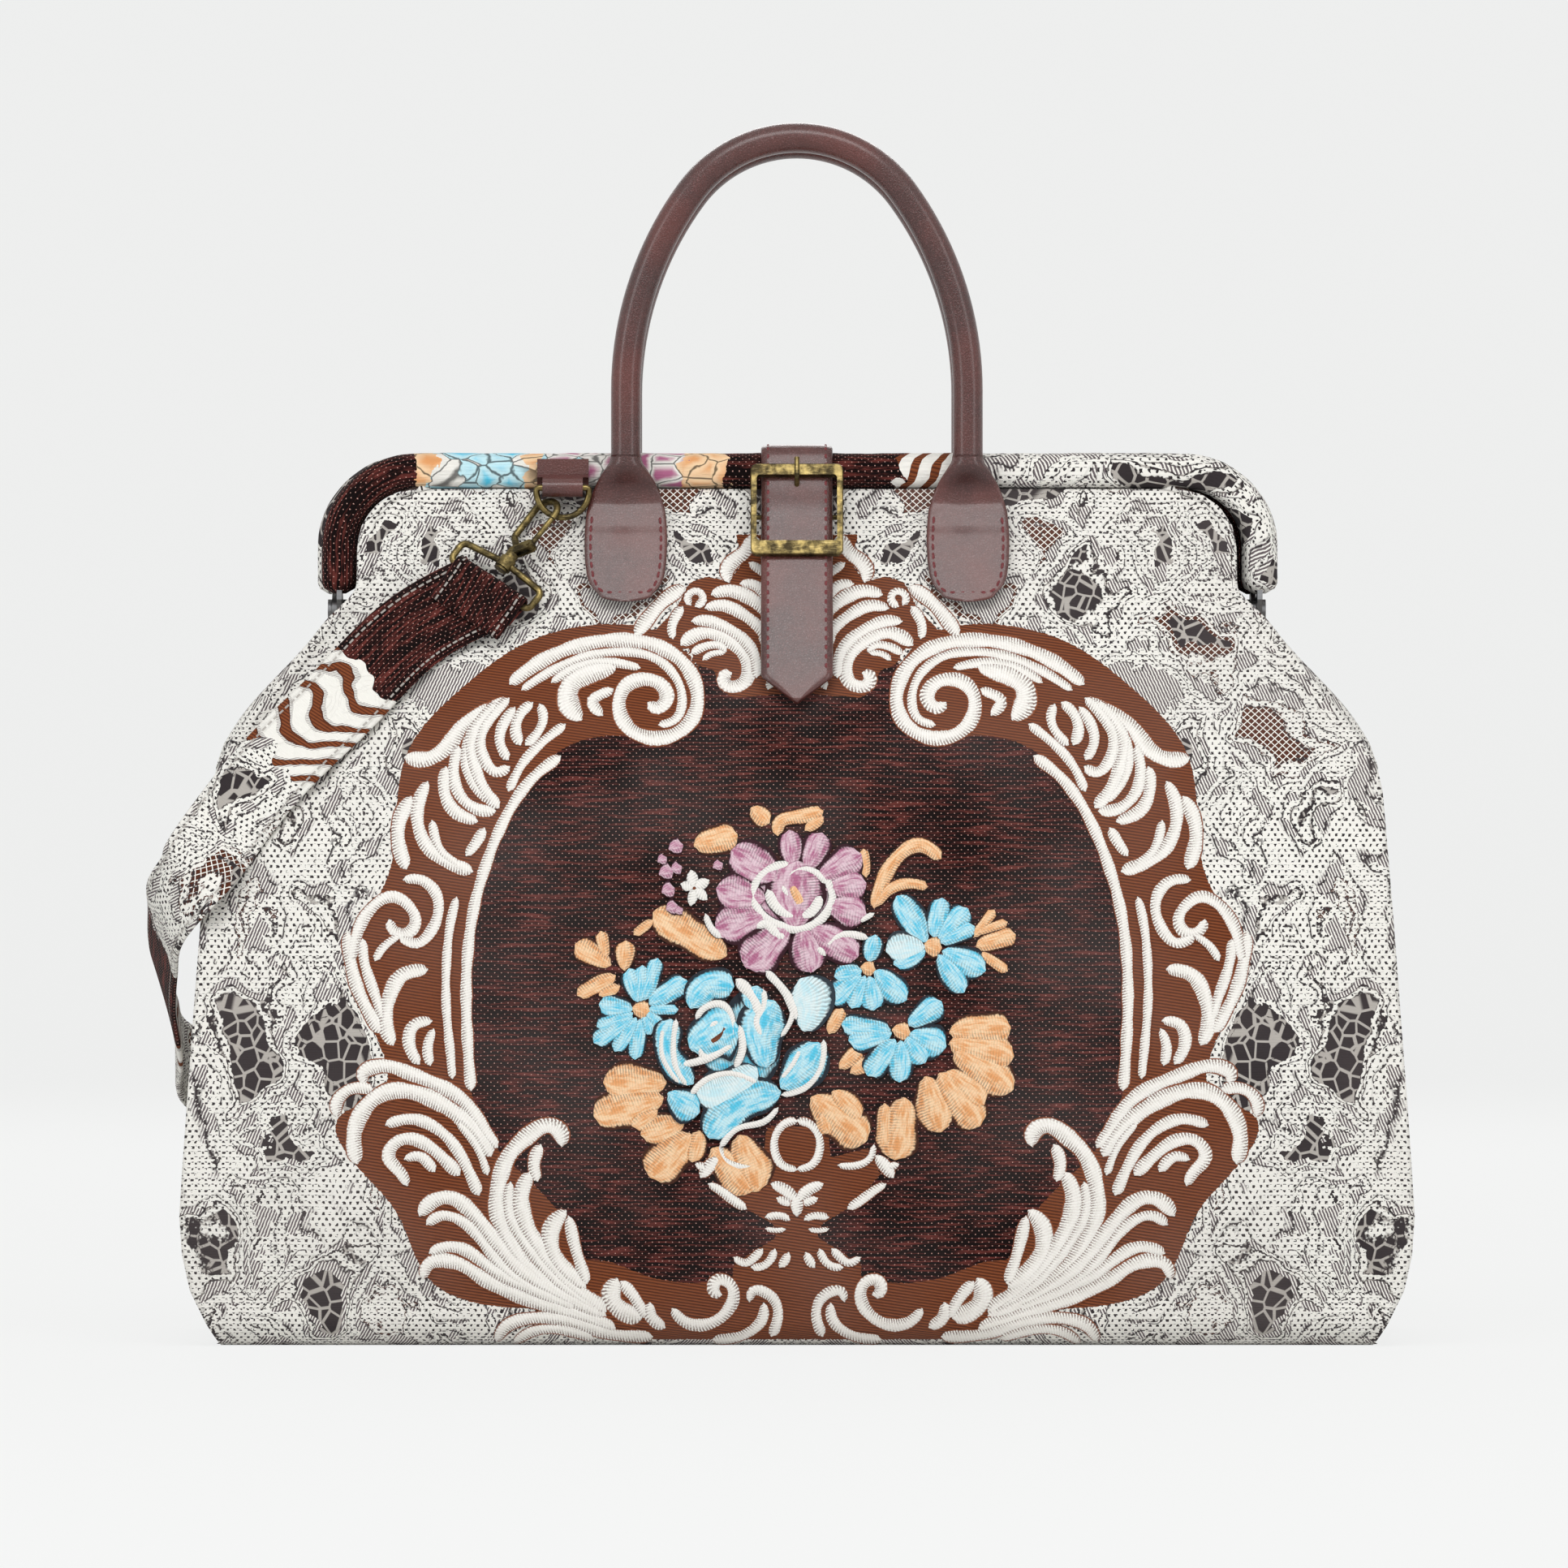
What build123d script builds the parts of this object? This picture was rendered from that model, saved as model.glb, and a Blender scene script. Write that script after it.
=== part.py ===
from build123d import *
import os
from math import atan, atan2, cos, radians, sin

os.makedirs("parts", exist_ok=True)

# A framed carpet bag. The origin is the middle of the base on the floor, the front faces -Y.

# Outline of the body in front view
base_width = 486.0
belly_width = 520.0
belly_height = 55.0
shoulder_width = 494.0
shoulder_height = 259.0
shoulder_round = 24.0
swell_across = 0.74
swell_up = 0.43
slope_end_round = 5.0
slope_end_across = 2.0
slope_end_below = 3.0
neck_round = 3.0

# Steel frame and its rolled casings
hinge_height = 312.0
rim_height = 378.5
rim_span = 394.0
rim_corner = 33.0
roll_width = 15.0
roll_depth = 16.2
roll_round = 6.4
foot_rise = 8.0
bar_width = 11.0
bar_thickness = 2.2
bar_play = 0.4
lug_radius = 5.5
lug_gap = 0.2
pin_radius = 2.5
pin_play = 0.06
pin_head_radius = 4.2
pin_head_thickness = 1.6
gusset_below_lug = 3.0
foot_lap = 4.0

# Cloth, lining and board
cloth_thickness = 2.5
lining_thickness = 1.0
lining_seam = 0.2
board_thickness = 3.0
board_margin = 8.0
board_corner = 12.0
soft_gap = 0.3
base_half_depth = 84.0
base_panel_half_depth = 76.0
belly_half_depth = 104.0
relief = 0.8
open_rise = 3.0

# Leather
handle_radius = 6.4
handle_half_span = 73.0
handle_top = 513.0
handle_spring_height = 405.0
handle_crown_round = 56.0
handle_gap = 0.5
neck_height = 376.0
tab_width = 35.6
tab_bottom = 315.0
tab_thickness = 3.0
tab_play = 1.3
tab_shoulder_below = 23.0
tab_top_below = 2.0
tab_top_share = 0.81
# The neck's flare as (below the neck, half width as a share of the tab's, half depth, off the roll)
tab_flare = [
    (7.0, 0.56, 4.4, 4.8),
    (14.0, 0.78, 2.9, 3.4),
    (20.0, 0.9, 1.9, 4.6),
]
strap_width = 30.0
strap_thickness = 3.0
strap_tip_height = 271.5
strap_point = 11.0
strap_stand_off = 5.2
strap_tip_share = 1.12
strap_shoulder_gap = 3.8
strap_over_rim = 0.5
strap_pivot_y = 9.0
strap_bend_round = 6.0
anchor_drop = 46.0
anchor_play = 1.6
anchor_bend_round = 4.5
anchor_foot_round = 8.0
anchor_foot_below = 3.0
anchor_slope = 0.51

# Buckle
buckle_width = 39.5
buckle_height = 43.0
buckle_thickness = 3.0
buckle_top_height = 372.0
buckle_side = 2.6
buckle_top_bar = 5.3
buckle_bottom_bar = 6.5
centre_bar_radius = 1.1
prong_radius = 1.1
prong_leaves_bar = 10.0
prong_reaches_top = 15.0
prong_bend_round = 2.0
prong_past_frame = 2.0
prong_eye_play = 0.08
prong_over_frame = 0.2
prong_slot_play = 1.0
prong_slot_length = 6.4
buckle_play = 0.25
buckle_corner = 3.0
buckle_window_corner = 1.5
buckle_edge_round = 0.6
buckle_post_share = 0.8
snap_edge_round = 0.5
snap_radius = 9.0
snap_thickness = 1.6

# Ring, hook and bail
ring_wire = 1.35
ring_half_width = 11.2
ring_straight = 1.5
ring_corner = 1.4
ring_play = 0.25
keeper_length = 22.0
keeper_radius = 4.0
keeper_x = 100.0
keeper_height = 363.5
keeper_off_roll = 7.5
keeper_notch = 1.2
keeper_notch_rise = 0.6
keeper_strap = 2.0
keeper_strap_length = 8.0
keeper_strap_rise = 8.5
keeper_neck_rise = 5.0
keeper_lift = 0.3
hook_wire = 1.5
hook_half_width = 6.2
hook_lean = 55.0
hook_x = 115.0
hook_turn = 35.0
ring_place = 50.0
ring_on_hook = 29.2
shank_radius = 1.6
shank_play = 0.08
hub_radius = 3.6
hub_low = -3.0
hub_high = 2.0
shank_from = 4.0
shank_bend = 8.0
stem_start = 13.0
stem_round = 2.4
nose_start = 28.3
nose_end = 26.9
collar_radius = 2.8
collar_play = 0.15
collar_thickness = 0.95
cheek_radius = 2.2
cheek_root_radius = 2.0
cheek_root_y = 6.0
cheek_inside = 1.0
cheek_thickness = 1.0
gate_pivot = (5.7, 11.0)
gate_pin_radius = 0.8
gate_pin_reach = 2.4
gate_eye_radius = 2.0
gate_pin_play = 0.1
gate_half = 0.8
gate_wire = 1.2
gate_play = 0.3
gate_tongue = (1.6, 4.0)
gate_tongue_rise = 3.0
gate_trim_radius = 2.5
bail_shoulder = 2.5
bail_root = (2.9, 0.5)
bail_round = 3.0
bail_wire = 1.5
bail_half_width = 20.5
bail_depth = 12.5

# Shoulder strap
shoulder_strap_width = 36.0
shoulder_strap_thickness = 2.6
strap_lap = 2.7
sleeve_radius = 3.8
sleeve_play = 0.3

belly_half = belly_width / 2
rim_line = rim_height - roll_width / 2
foot_height = hinge_height + foot_rise
panel_top = rim_height - roll_width - soft_gap
frame_shift = (bar_thickness + lug_gap) / 2
front_frame_y = -(roll_depth / 2 + soft_gap)
gusset_top = hinge_height - lug_radius - gusset_below_lug

# Half depth of the body at a few heights, at the middle and at the widest sides
levels = [0, 6, 20, 70, 150, 235, hinge_height, panel_top]
middle_depths = [base_half_depth, 94, 100, belly_half_depth, 97, 77, 40, 14]
side_depths = [base_half_depth, 91, 94, 95, 82, 50, 13, 14]
stations = [-belly_half - 2, -200, -100, 0, 100, 200, belly_half + 2]


def half_depths(x):
    share = min(1.0, (x / belly_half) ** 2)
    return [m + (s - m) * share for m, s in zip(middle_depths, side_depths)]


def panel_y(x, z):
    """Where the front panel's outer face is, as a positive half depth."""
    depths = half_depths(x)
    for low, high, d_low, d_high in zip(levels, levels[1:], depths, depths[1:]):
        if z <= high:
            return d_low + (d_high - d_low) * (z - low) / (high - low)
    return depths[-1]


def body_form(inset, rise=0.0):
    """The bag's filled form, drawn in by inset, with its open top lifted by rise."""
    with BuildPart() as form:
        for x in stations:
            depths = half_depths(x)
            heights = [inset] + levels[1:-1] + [panel_top + rise]
            front = [(-(d - inset), z) for d, z in zip(depths, heights)]
            back = [(-y, z) for y, z in front]
            with BuildSketch(Plane.YZ.offset(x)):
                with BuildLine():
                    near = Spline(*front)
                    far = Spline(*back)
                    Line(near @ 0, far @ 0)
                    Line(near @ 1, far @ 1)
                make_face()
        loft()
    return form.part


def outline_prism(inset, rise=0.0):
    """The front outline of the panels, pulled through the whole depth."""
    casing_inner = rim_span / 2 - frame_shift - roll_width / 2 - soft_gap
    slope_end = (rim_span / 2 + slope_end_across, hinge_height - slope_end_below)
    with BuildPart() as prism:
        with BuildSketch(Plane.XZ) as face:
            with BuildLine():
                base = Line((0, 0), (base_width / 2, 0))
                swell = ThreePointArc(
                    base @ 1,
                    (base_width / 2 + swell_across * (belly_width - base_width) / 2, swell_up * belly_height),
                    (belly_half, belly_height),
                )
                side = FilletPolyline(
                    swell @ 1,
                    (shoulder_width / 2, shoulder_height),
                    slope_end,
                    (casing_inner, foot_height - soft_gap),
                    (casing_inner, panel_top),
                    (0, panel_top),
                    radius=[shoulder_round, slope_end_round, neck_round, rim_corner - roll_width / 2 - soft_gap],
                )
                mirror(about=Plane.YZ)
            make_face()
            if inset:
                offset(amount=-inset, kind=Kind.INTERSECTION)
        extrude(amount=belly_half_depth * 1.5, both=True)
        if rise:
            with BuildSketch(Plane.XZ):
                with Locations((0, panel_top - inset)):
                    Rectangle(2 * (casing_inner - rim_corner), 2 * (inset + rise))
            extrude(amount=belly_half_depth * 1.5, both=True)
    return prism.part


outer = body_form(0)
inner = body_form(cloth_thickness, open_rise)
outline = outline_prism(0)

with BuildPart() as cloth:
    add(outer)
    add(inner, mode=Mode.SUBTRACT)
    add(outline, mode=Mode.INTERSECT)

with BuildPart() as base_panel:
    with BuildSketch():
        Rectangle(belly_width, 2 * base_panel_half_depth)
    extrude(amount=cloth_thickness * 1.5)
    add(cloth.part, mode=Mode.INTERSECT)
base_panel.part.label = "base_panel"
export_step(base_panel.part, "parts/base_panel.step")

for name, keep in [("front_panel", Keep.TOP), ("rear_panel", Keep.BOTTOM)]:
    with BuildPart() as panel:
        add(cloth.part)
        add(base_panel.part, mode=Mode.SUBTRACT)
        split(bisect_by=Plane.XZ, keep=keep)
    panel.part.label = name
    export_step(panel.part, f"parts/{name}.step")

# The gussets are the strips between the panels' edges, from the base up to the hinge
gusset_inset = outline_prism(cloth_thickness)
with BuildPart() as gusset_strip:
    add(inner)
    add(outline, mode=Mode.INTERSECT)
    add(gusset_inset, mode=Mode.SUBTRACT)
    with BuildSketch():
        Rectangle(2 * belly_width, 4 * belly_half_depth)
    extrude(amount=gusset_top, mode=Mode.INTERSECT)
    split(bisect_by=Plane.XY.offset(cloth_thickness), keep=Keep.TOP)
for name, keep in [("left_gusset", Keep.BOTTOM), ("right_gusset", Keep.TOP)]:
    with BuildPart() as gusset:
        add(gusset_strip.part)
        split(bisect_by=Plane.YZ, keep=keep)
    gusset.part.label = name
    export_step(gusset.part, f"parts/{name}.step")

lining_inset = cloth_thickness + soft_gap
lining_inner = lining_inset + lining_thickness
lining_form = body_form(lining_inset, open_rise)
lining_outline = outline_prism(lining_inset + lining_seam)
hollow_form = body_form(lining_inner, open_rise)
hollow_outline = outline_prism(lining_inner + lining_seam, 2 * open_rise)
with BuildPart() as lining_hollow:
    add(hollow_form)
    add(hollow_outline, mode=Mode.INTERSECT)
with BuildPart() as lining:
    add(lining_form)
    add(lining_outline, mode=Mode.INTERSECT)
    add(lining_hollow.part, mode=Mode.SUBTRACT)
    split(bisect_by=Plane.XY.offset(gusset_top), keep=Keep.BOTTOM)
lining.part.label = "lining"
export_step(lining.part, "parts/lining.step")

# A stiff board lies on the lining's floor
board_floor = lining_inner + soft_gap
with BuildPart() as base_board:
    with BuildSketch(Plane.XY.offset(board_floor)):
        RectangleRounded(base_width - 2 * board_margin, 2 * base_panel_half_depth, board_corner)
    extrude(amount=board_thickness)
base_board.part.label = "base_board"
export_step(base_board.part, "parts/base_board.step")


def rim_line_path(shift):
    left = shift - rim_span / 2
    right = shift + rim_span / 2
    FilletPolyline(
        (left, foot_height), (left, rim_line), (right, rim_line), (right, foot_height), radius=rim_corner
    )


# The front half of the frame; the rear half is the same turned about the vertical axis
with BuildPart() as front_casing:
    with BuildLine(Plane.XZ.offset(-front_frame_y)) as casing_path:
        rim_line_path(frame_shift)
    with BuildSketch(Plane(casing_path.line @ 0, x_dir=(0, 1, 0), z_dir=casing_path.line % 0)):
        RectangleRounded(roll_depth, roll_width, roll_round)
        RectangleRounded(
            bar_width + 2 * bar_play, bar_thickness + 2 * bar_play, bar_play, mode=Mode.SUBTRACT
        )
    sweep()

with BuildPart() as front_bar:
    with BuildLine(Plane.XZ.offset(-front_frame_y)) as bar_path:
        rim_line_path(frame_shift)
    with BuildSketch(Plane(bar_path.line @ 0, x_dir=(0, 1, 0), z_dir=bar_path.line % 0)):
        Rectangle(bar_width, bar_thickness)
    sweep()
    for side in (-1, 1):
        plate_x = frame_shift + side * rim_span / 2 - bar_thickness / 2
        with BuildSketch(Plane.YZ.offset(plate_x)):
            with Locations((0, hinge_height)):
                Circle(lug_radius)
            with Locations((front_frame_y, foot_height - foot_lap / 2)):
                Rectangle(bar_width, foot_lap)
            make_hull()
            with Locations((0, hinge_height)):
                Circle(pin_radius + pin_play, mode=Mode.SUBTRACT)
        extrude(amount=bar_thickness)


def front_and_rear(piece, name):
    """Writes the front piece and its twin, turned half a turn about the vertical axis."""
    twin = piece.rotate(Axis.Z, 180)
    piece.label = "front_" + name
    twin.label = "rear_" + name
    export_step(piece, f"parts/front_{name}.step")
    export_step(twin, f"parts/rear_{name}.step")


front_and_rear(front_casing.part, "rim_casing")
front_and_rear(front_bar.part, "frame_bar")

# Rivet pins through both bars' eyes, with a head at each end
pin_grip = 2 * bar_thickness + lug_gap + 2 * lug_gap
for name, side in [("left_hinge_pin", -1), ("right_hinge_pin", 1)]:
    with BuildPart() as pin:
        start = side * rim_span / 2 - pin_grip / 2
        for x, length, radius in [
            (start - pin_head_thickness, pin_head_thickness, pin_head_radius),
            (start, pin_grip, pin_radius),
            (start + pin_grip, pin_head_thickness, pin_head_radius),
        ]:
            with BuildSketch(Plane.YZ.offset(x)):
                with Locations((0, hinge_height)):
                    Circle(radius)
            extrude(amount=length)
    pin.part.label = name
    export_step(pin.part, f"parts/{name}.step")

# Rolled handle
casing_face = roll_depth + soft_gap
handle_y = casing_face + handle_gap + handle_radius
handle_rise = handle_top - handle_spring_height
side_round = handle_half_span**2 + (handle_rise - handle_crown_round) ** 2 - handle_crown_round**2
side_round = side_round / (2 * (handle_half_span - handle_crown_round))
side_turn = atan2(handle_rise - handle_crown_round, side_round - handle_half_span)
crown_x = handle_half_span - side_round * (1 - cos(side_turn))
crown_z = handle_spring_height + side_round * sin(side_turn)
with BuildPart() as handle:
    with BuildLine(Plane.XZ.offset(handle_y)) as handle_path:
        right = Line(
            (handle_half_span, neck_height + soft_gap), (handle_half_span, handle_spring_height)
        )
        near_side = TangentArc(right @ 1, (crown_x, crown_z), tangent=right % 1)
        crown = TangentArc(near_side @ 1, (-crown_x, crown_z), tangent=near_side % 1)
        far_side = TangentArc(crown @ 1, (-handle_half_span, handle_spring_height), tangent=crown % 1)
        Line(far_side @ 1, (-handle_half_span, neck_height + soft_gap))
    with BuildSketch(Plane(handle_path.line @ 0, z_dir=handle_path.line % 0)):
        Circle(handle_radius)
    sweep()
front_and_rear(handle.part, "handle")

# Handle tabs: a round neck that flares into a flat leaf stitched on the panel's slope
tab_low = panel_y(handle_half_span, tab_bottom)
tab_high = panel_y(handle_half_span, panel_top)
tab_lean = (tab_low - tab_high) / (panel_top - tab_bottom)
tab_rise = (1 + tab_lean**2) ** 0.5
with BuildPart() as tabs:
    for side in (-1, 1):
        x = side * handle_half_span
        leaf_plane = Plane(
            (x, -(tab_low + tab_play * tab_rise), tab_bottom),
            x_dir=(1, 0, 0),
            z_dir=(0, -1, tab_lean),
        )
        half = tab_width / 2
        full = (panel_top - tab_shoulder_below - tab_bottom) * tab_rise
        top = (panel_top - tab_top_below - tab_bottom) * tab_rise
        with BuildSketch(leaf_plane):
            with BuildLine():
                ThreePointArc((-half, half), (0, 0), (half, half))
                Polyline(
                    (half, half),
                    (half, full),
                    (tab_top_share * half, top),
                    (-tab_top_share * half, top),
                    (-half, full),
                    (-half, half),
                )
            make_face()
        extrude(amount=tab_thickness)
        with BuildSketch(Plane.XY.offset(neck_height)):
            with Locations((x, -handle_y)):
                Circle(handle_radius)
        for below, share, deep, off in tab_flare:
            with BuildSketch(Plane.XY.offset(neck_height - below)):
                with Locations((x, -casing_face - off)):
                    Ellipse(share * half, deep)
        loft()
front_and_rear(tabs.part, "handle_tabs")

# Closing strap: from its pivot on the rear roll, over the mouth and down the front
strap_top = rim_height + strap_over_rim + strap_thickness / 2
strap_tip_y = -(panel_y(0, strap_tip_height) + (strap_stand_off + strap_thickness / 2) * strap_tip_share)
strap_shoulder_y = -(casing_face + strap_shoulder_gap + strap_thickness / 2)
strap_shoulder_z = rim_line - 1
strap_slope = (strap_shoulder_y - strap_tip_y) / (strap_shoulder_z - strap_tip_height)
strap_bend_y = strap_shoulder_y + strap_slope * (strap_top - strap_shoulder_z)
buckle_middle_z = buckle_top_height - buckle_height / 2 * cos(atan(strap_slope))
buckle_middle_y = strap_shoulder_y + strap_slope * (buckle_middle_z - strap_shoulder_z)
buckle_plane = Plane(
    (0, buckle_middle_y, buckle_middle_z), x_dir=(1, 0, 0), z_dir=(0, -1, strap_slope)
)
frame_lift = strap_thickness / 2 + buckle_play
centre_bar_depth = frame_lift + 2 * centre_bar_radius
with BuildPart() as closing_strap:
    with BuildLine(Plane.YZ) as strap_path:
        FilletPolyline(
            (strap_pivot_y, strap_top),
            (strap_bend_y, strap_top),
            (strap_tip_y, strap_tip_height),
            radius=strap_bend_round,
        )
    with BuildSketch(Plane(strap_path.line @ 0, x_dir=(1, 0, 0), z_dir=strap_path.line % 0)):
        Rectangle(strap_width, strap_thickness)
    sweep()
    with BuildSketch(Plane.YZ.offset(-strap_width / 2)):
        with Locations((strap_pivot_y, strap_top)):
            Circle(strap_thickness / 2)
    extrude(amount=strap_width)
    with BuildSketch(Plane.XZ):
        with BuildLine():
            Polyline(
                (0, strap_tip_height),
                (strap_width, strap_tip_height + 2 * strap_point),
                (strap_width, strap_tip_height - strap_point),
                (0, strap_tip_height - strap_point),
                (0, strap_tip_height),
            )
        make_face()
        mirror(about=Plane.YZ)
    extrude(amount=2 * belly_half_depth, mode=Mode.SUBTRACT)
    with BuildSketch(buckle_plane.offset(-strap_thickness)):
        with Locations((0, (prong_leaves_bar + prong_reaches_top) / 2)):
            Rectangle(2 * prong_radius + prong_slot_play, prong_slot_length)
    extrude(amount=2 * strap_thickness, mode=Mode.SUBTRACT)
closing_strap.part.label = "closing_strap"
export_step(closing_strap.part, "parts/closing_strap.step")

# The strap's end, stitched down behind the rear roll
anchor_gap = strap_thickness / 2 + anchor_play
anchor_back_y = casing_face + strap_over_rim + strap_thickness / 2
anchor_end_z = rim_height - anchor_drop
anchor_foot_z = rim_line - anchor_foot_below
with BuildPart() as strap_anchor:
    with BuildLine(Plane.YZ) as anchor_path:
        FilletPolyline(
            (strap_pivot_y + anchor_gap, strap_top),
            (anchor_back_y, strap_top),
            (anchor_back_y, anchor_foot_z),
            (anchor_back_y + anchor_slope * (anchor_foot_z - anchor_end_z), anchor_end_z),
            radius=[anchor_bend_round, anchor_foot_round],
        )
    with BuildSketch(Plane(anchor_path.line @ 0, x_dir=(1, 0, 0), z_dir=anchor_path.line % 0)):
        Rectangle(strap_width, strap_thickness)
    sweep()
strap_anchor.part.label = "strap_anchor"
export_step(strap_anchor.part, "parts/strap_anchor.step")

# Buckle: a frame over the strap, joined at its sides to a bar that runs behind the strap
with BuildPart() as buckle:
    with BuildSketch(buckle_plane.offset(frame_lift)):
        RectangleRounded(buckle_width, buckle_height, buckle_corner)
        with Locations((0, (buckle_bottom_bar - buckle_top_bar) / 2)):
            RectangleRounded(
                buckle_width - 2 * buckle_side,
                buckle_height - buckle_top_bar - buckle_bottom_bar,
                buckle_window_corner,
                mode=Mode.SUBTRACT,
            )
    extrude(amount=buckle_thickness)
    fillet(buckle.edges().group_by(SortBy.LENGTH)[-1], radius=buckle_edge_round)
    post_x = (buckle_width - buckle_side) / 2
    with BuildSketch(buckle_plane.offset(-centre_bar_depth - centre_bar_radius)):
        with Locations((-post_x, 0), (post_x, 0)):
            Rectangle(buckle_side * buckle_post_share, 2 * centre_bar_radius)
    extrude(amount=centre_bar_depth + centre_bar_radius + frame_lift + buckle_thickness / 2)
    bar_plane = Plane(
        buckle_plane.from_local_coords((-post_x, 0, -centre_bar_depth)),
        x_dir=buckle_plane.y_dir,
        z_dir=(1, 0, 0),
    )
    with BuildSketch(bar_plane):
        Circle(centre_bar_radius)
    extrude(amount=2 * post_x)
buckle.part.label = "buckle_frame"
export_step(buckle.part, "parts/buckle_frame.step")

# Prong: an eye round the centre bar, then up through the strap and over the top bar
prong_plane = Plane(buckle_plane.origin, x_dir=buckle_plane.y_dir, z_dir=(1, 0, 0))
over_bar = frame_lift + buckle_thickness + prong_over_frame + prong_radius
with BuildPart() as prong:
    with BuildSketch(prong_plane.offset(-prong_radius)):
        with Locations((0, -centre_bar_depth)):
            Circle(2 * centre_bar_radius)
            Circle(centre_bar_radius + prong_eye_play, mode=Mode.SUBTRACT)
    extrude(amount=2 * prong_radius)
    with BuildLine(prong_plane) as prong_path:
        FilletPolyline(
            (1.5 * centre_bar_radius, -centre_bar_depth),
            (prong_leaves_bar, -centre_bar_depth),
            (prong_reaches_top, over_bar),
            (buckle_height / 2 + prong_past_frame, over_bar),
            radius=prong_bend_round,
        )
    with BuildSketch(Plane(prong_path.line @ 0, z_dir=prong_path.line % 0)):
        Circle(prong_radius)
    sweep()
prong.part.label = "buckle_prong"
export_step(prong.part, "parts/buckle_prong.step")

# Magnetic snap: a stud under the strap's point and a socket on the panel
snap_z = strap_tip_height + strap_point + snap_radius
snap_y = strap_shoulder_y + strap_slope * (snap_z - strap_shoulder_z)
snap_plane = Plane((0, snap_y, snap_z), x_dir=(1, 0, 0), z_dir=(0, 1, -strap_slope))
for name, lift in [
    ("snap_stud", strap_thickness / 2),
    ("snap_socket", strap_thickness / 2 + snap_thickness + soft_gap),
]:
    with BuildPart() as snap:
        with BuildSketch(snap_plane.offset(lift)):
            Circle(snap_radius)
        extrude(amount=snap_thickness)
        fillet(snap.edges().sort_by(Axis(snap_plane.origin, snap_plane.z_dir))[-1], radius=snap_edge_round)
    snap.part.label = name
    export_step(snap.part, f"parts/{name}.step")

# Ring keeper: a leather loop on the front roll, with the D-ring's bar in it
keeper_y = casing_face + keeper_off_roll
keeper_flat_y = -casing_face - keeper_lift - keeper_strap / 2
with BuildPart() as keeper:
    with BuildSketch(Plane.YZ.offset(-keeper_x - keeper_length / 2)):
        with Locations((-keeper_y, keeper_height)):
            Circle(keeper_radius)
        with Locations((keeper_flat_y, keeper_height + keeper_neck_rise)):
            Circle(keeper_strap / 2)
        make_hull()
        with Locations((keeper_flat_y, keeper_height + keeper_strap_rise)):
            Rectangle(keeper_strap, keeper_strap_length)
        with Locations((-keeper_y, keeper_height)):
            Circle(ring_wire + ring_play, mode=Mode.SUBTRACT)
    extrude(amount=keeper_length)
    for side in (-1, 1):
        with BuildSketch(Plane.YZ.offset(-keeper_x + side * keeper_length / 2)):
            with Locations((-keeper_y, keeper_height)):
                Circle(keeper_radius + keeper_notch_rise)
        extrude(amount=2 * keeper_notch, both=True, mode=Mode.SUBTRACT)
front_and_rear(keeper.part, "ring_keeper")

ring_centre = (-keeper_x, keeper_height - ring_straight)
with BuildPart() as ring:
    with BuildLine(Plane.XZ.offset(keeper_y)) as ring_path:
        ring_left = -keeper_x - ring_half_width
        ring_right = -keeper_x + ring_half_width
        shackle = FilletPolyline(
            (ring_left, ring_centre[1]),
            (ring_left, keeper_height),
            (ring_right, keeper_height),
            (ring_right, ring_centre[1]),
            radius=ring_corner,
        )
        ThreePointArc(
            shackle @ 1, (-keeper_x, ring_centre[1] - ring_half_width), shackle @ 0
        )
    with BuildSketch(Plane(ring_path.line @ 0, z_dir=ring_path.line % 0)):
        Circle(ring_wire)
    sweep()
front_and_rear(ring.part, "d_ring")

# The snap hook lies along the panel's slope, turned a little so that its bend takes the ring
slope_run = panel_y(hook_x, hinge_height) - panel_y(hook_x, panel_top)
slope_lean = atan2(slope_run, panel_top - hinge_height)
slope_up = Vector(0, sin(slope_lean), cos(slope_lean))
slope_out = Vector(0, -cos(slope_lean), sin(slope_lean))
lean = radians(hook_lean)
hook_up = Vector(1, 0, 0) * cos(lean) + slope_up * sin(lean)
bail_side = Vector(1, 0, 0) * sin(lean) - slope_up * cos(lean)
turn = radians(hook_turn)
hook_side = bail_side * cos(turn) + slope_out * sin(turn)
hook_out = slope_out * cos(turn) - bail_side * sin(turn)
touch = radians(ring_place)
ring_touch = Vector(
    ring_centre[0] - ring_half_width * cos(touch),
    -keeper_y,
    ring_centre[1] - ring_half_width * sin(touch),
)
hook_origin = ring_touch - hook_up * ring_on_hook
hook_plane = Plane(hook_origin, x_dir=hook_side, z_dir=hook_out)
bail_plane = Plane(hook_origin, x_dir=bail_side, z_dir=slope_out)
across_plane = Plane(hook_origin, x_dir=hook_side, z_dir=hook_up)

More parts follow.
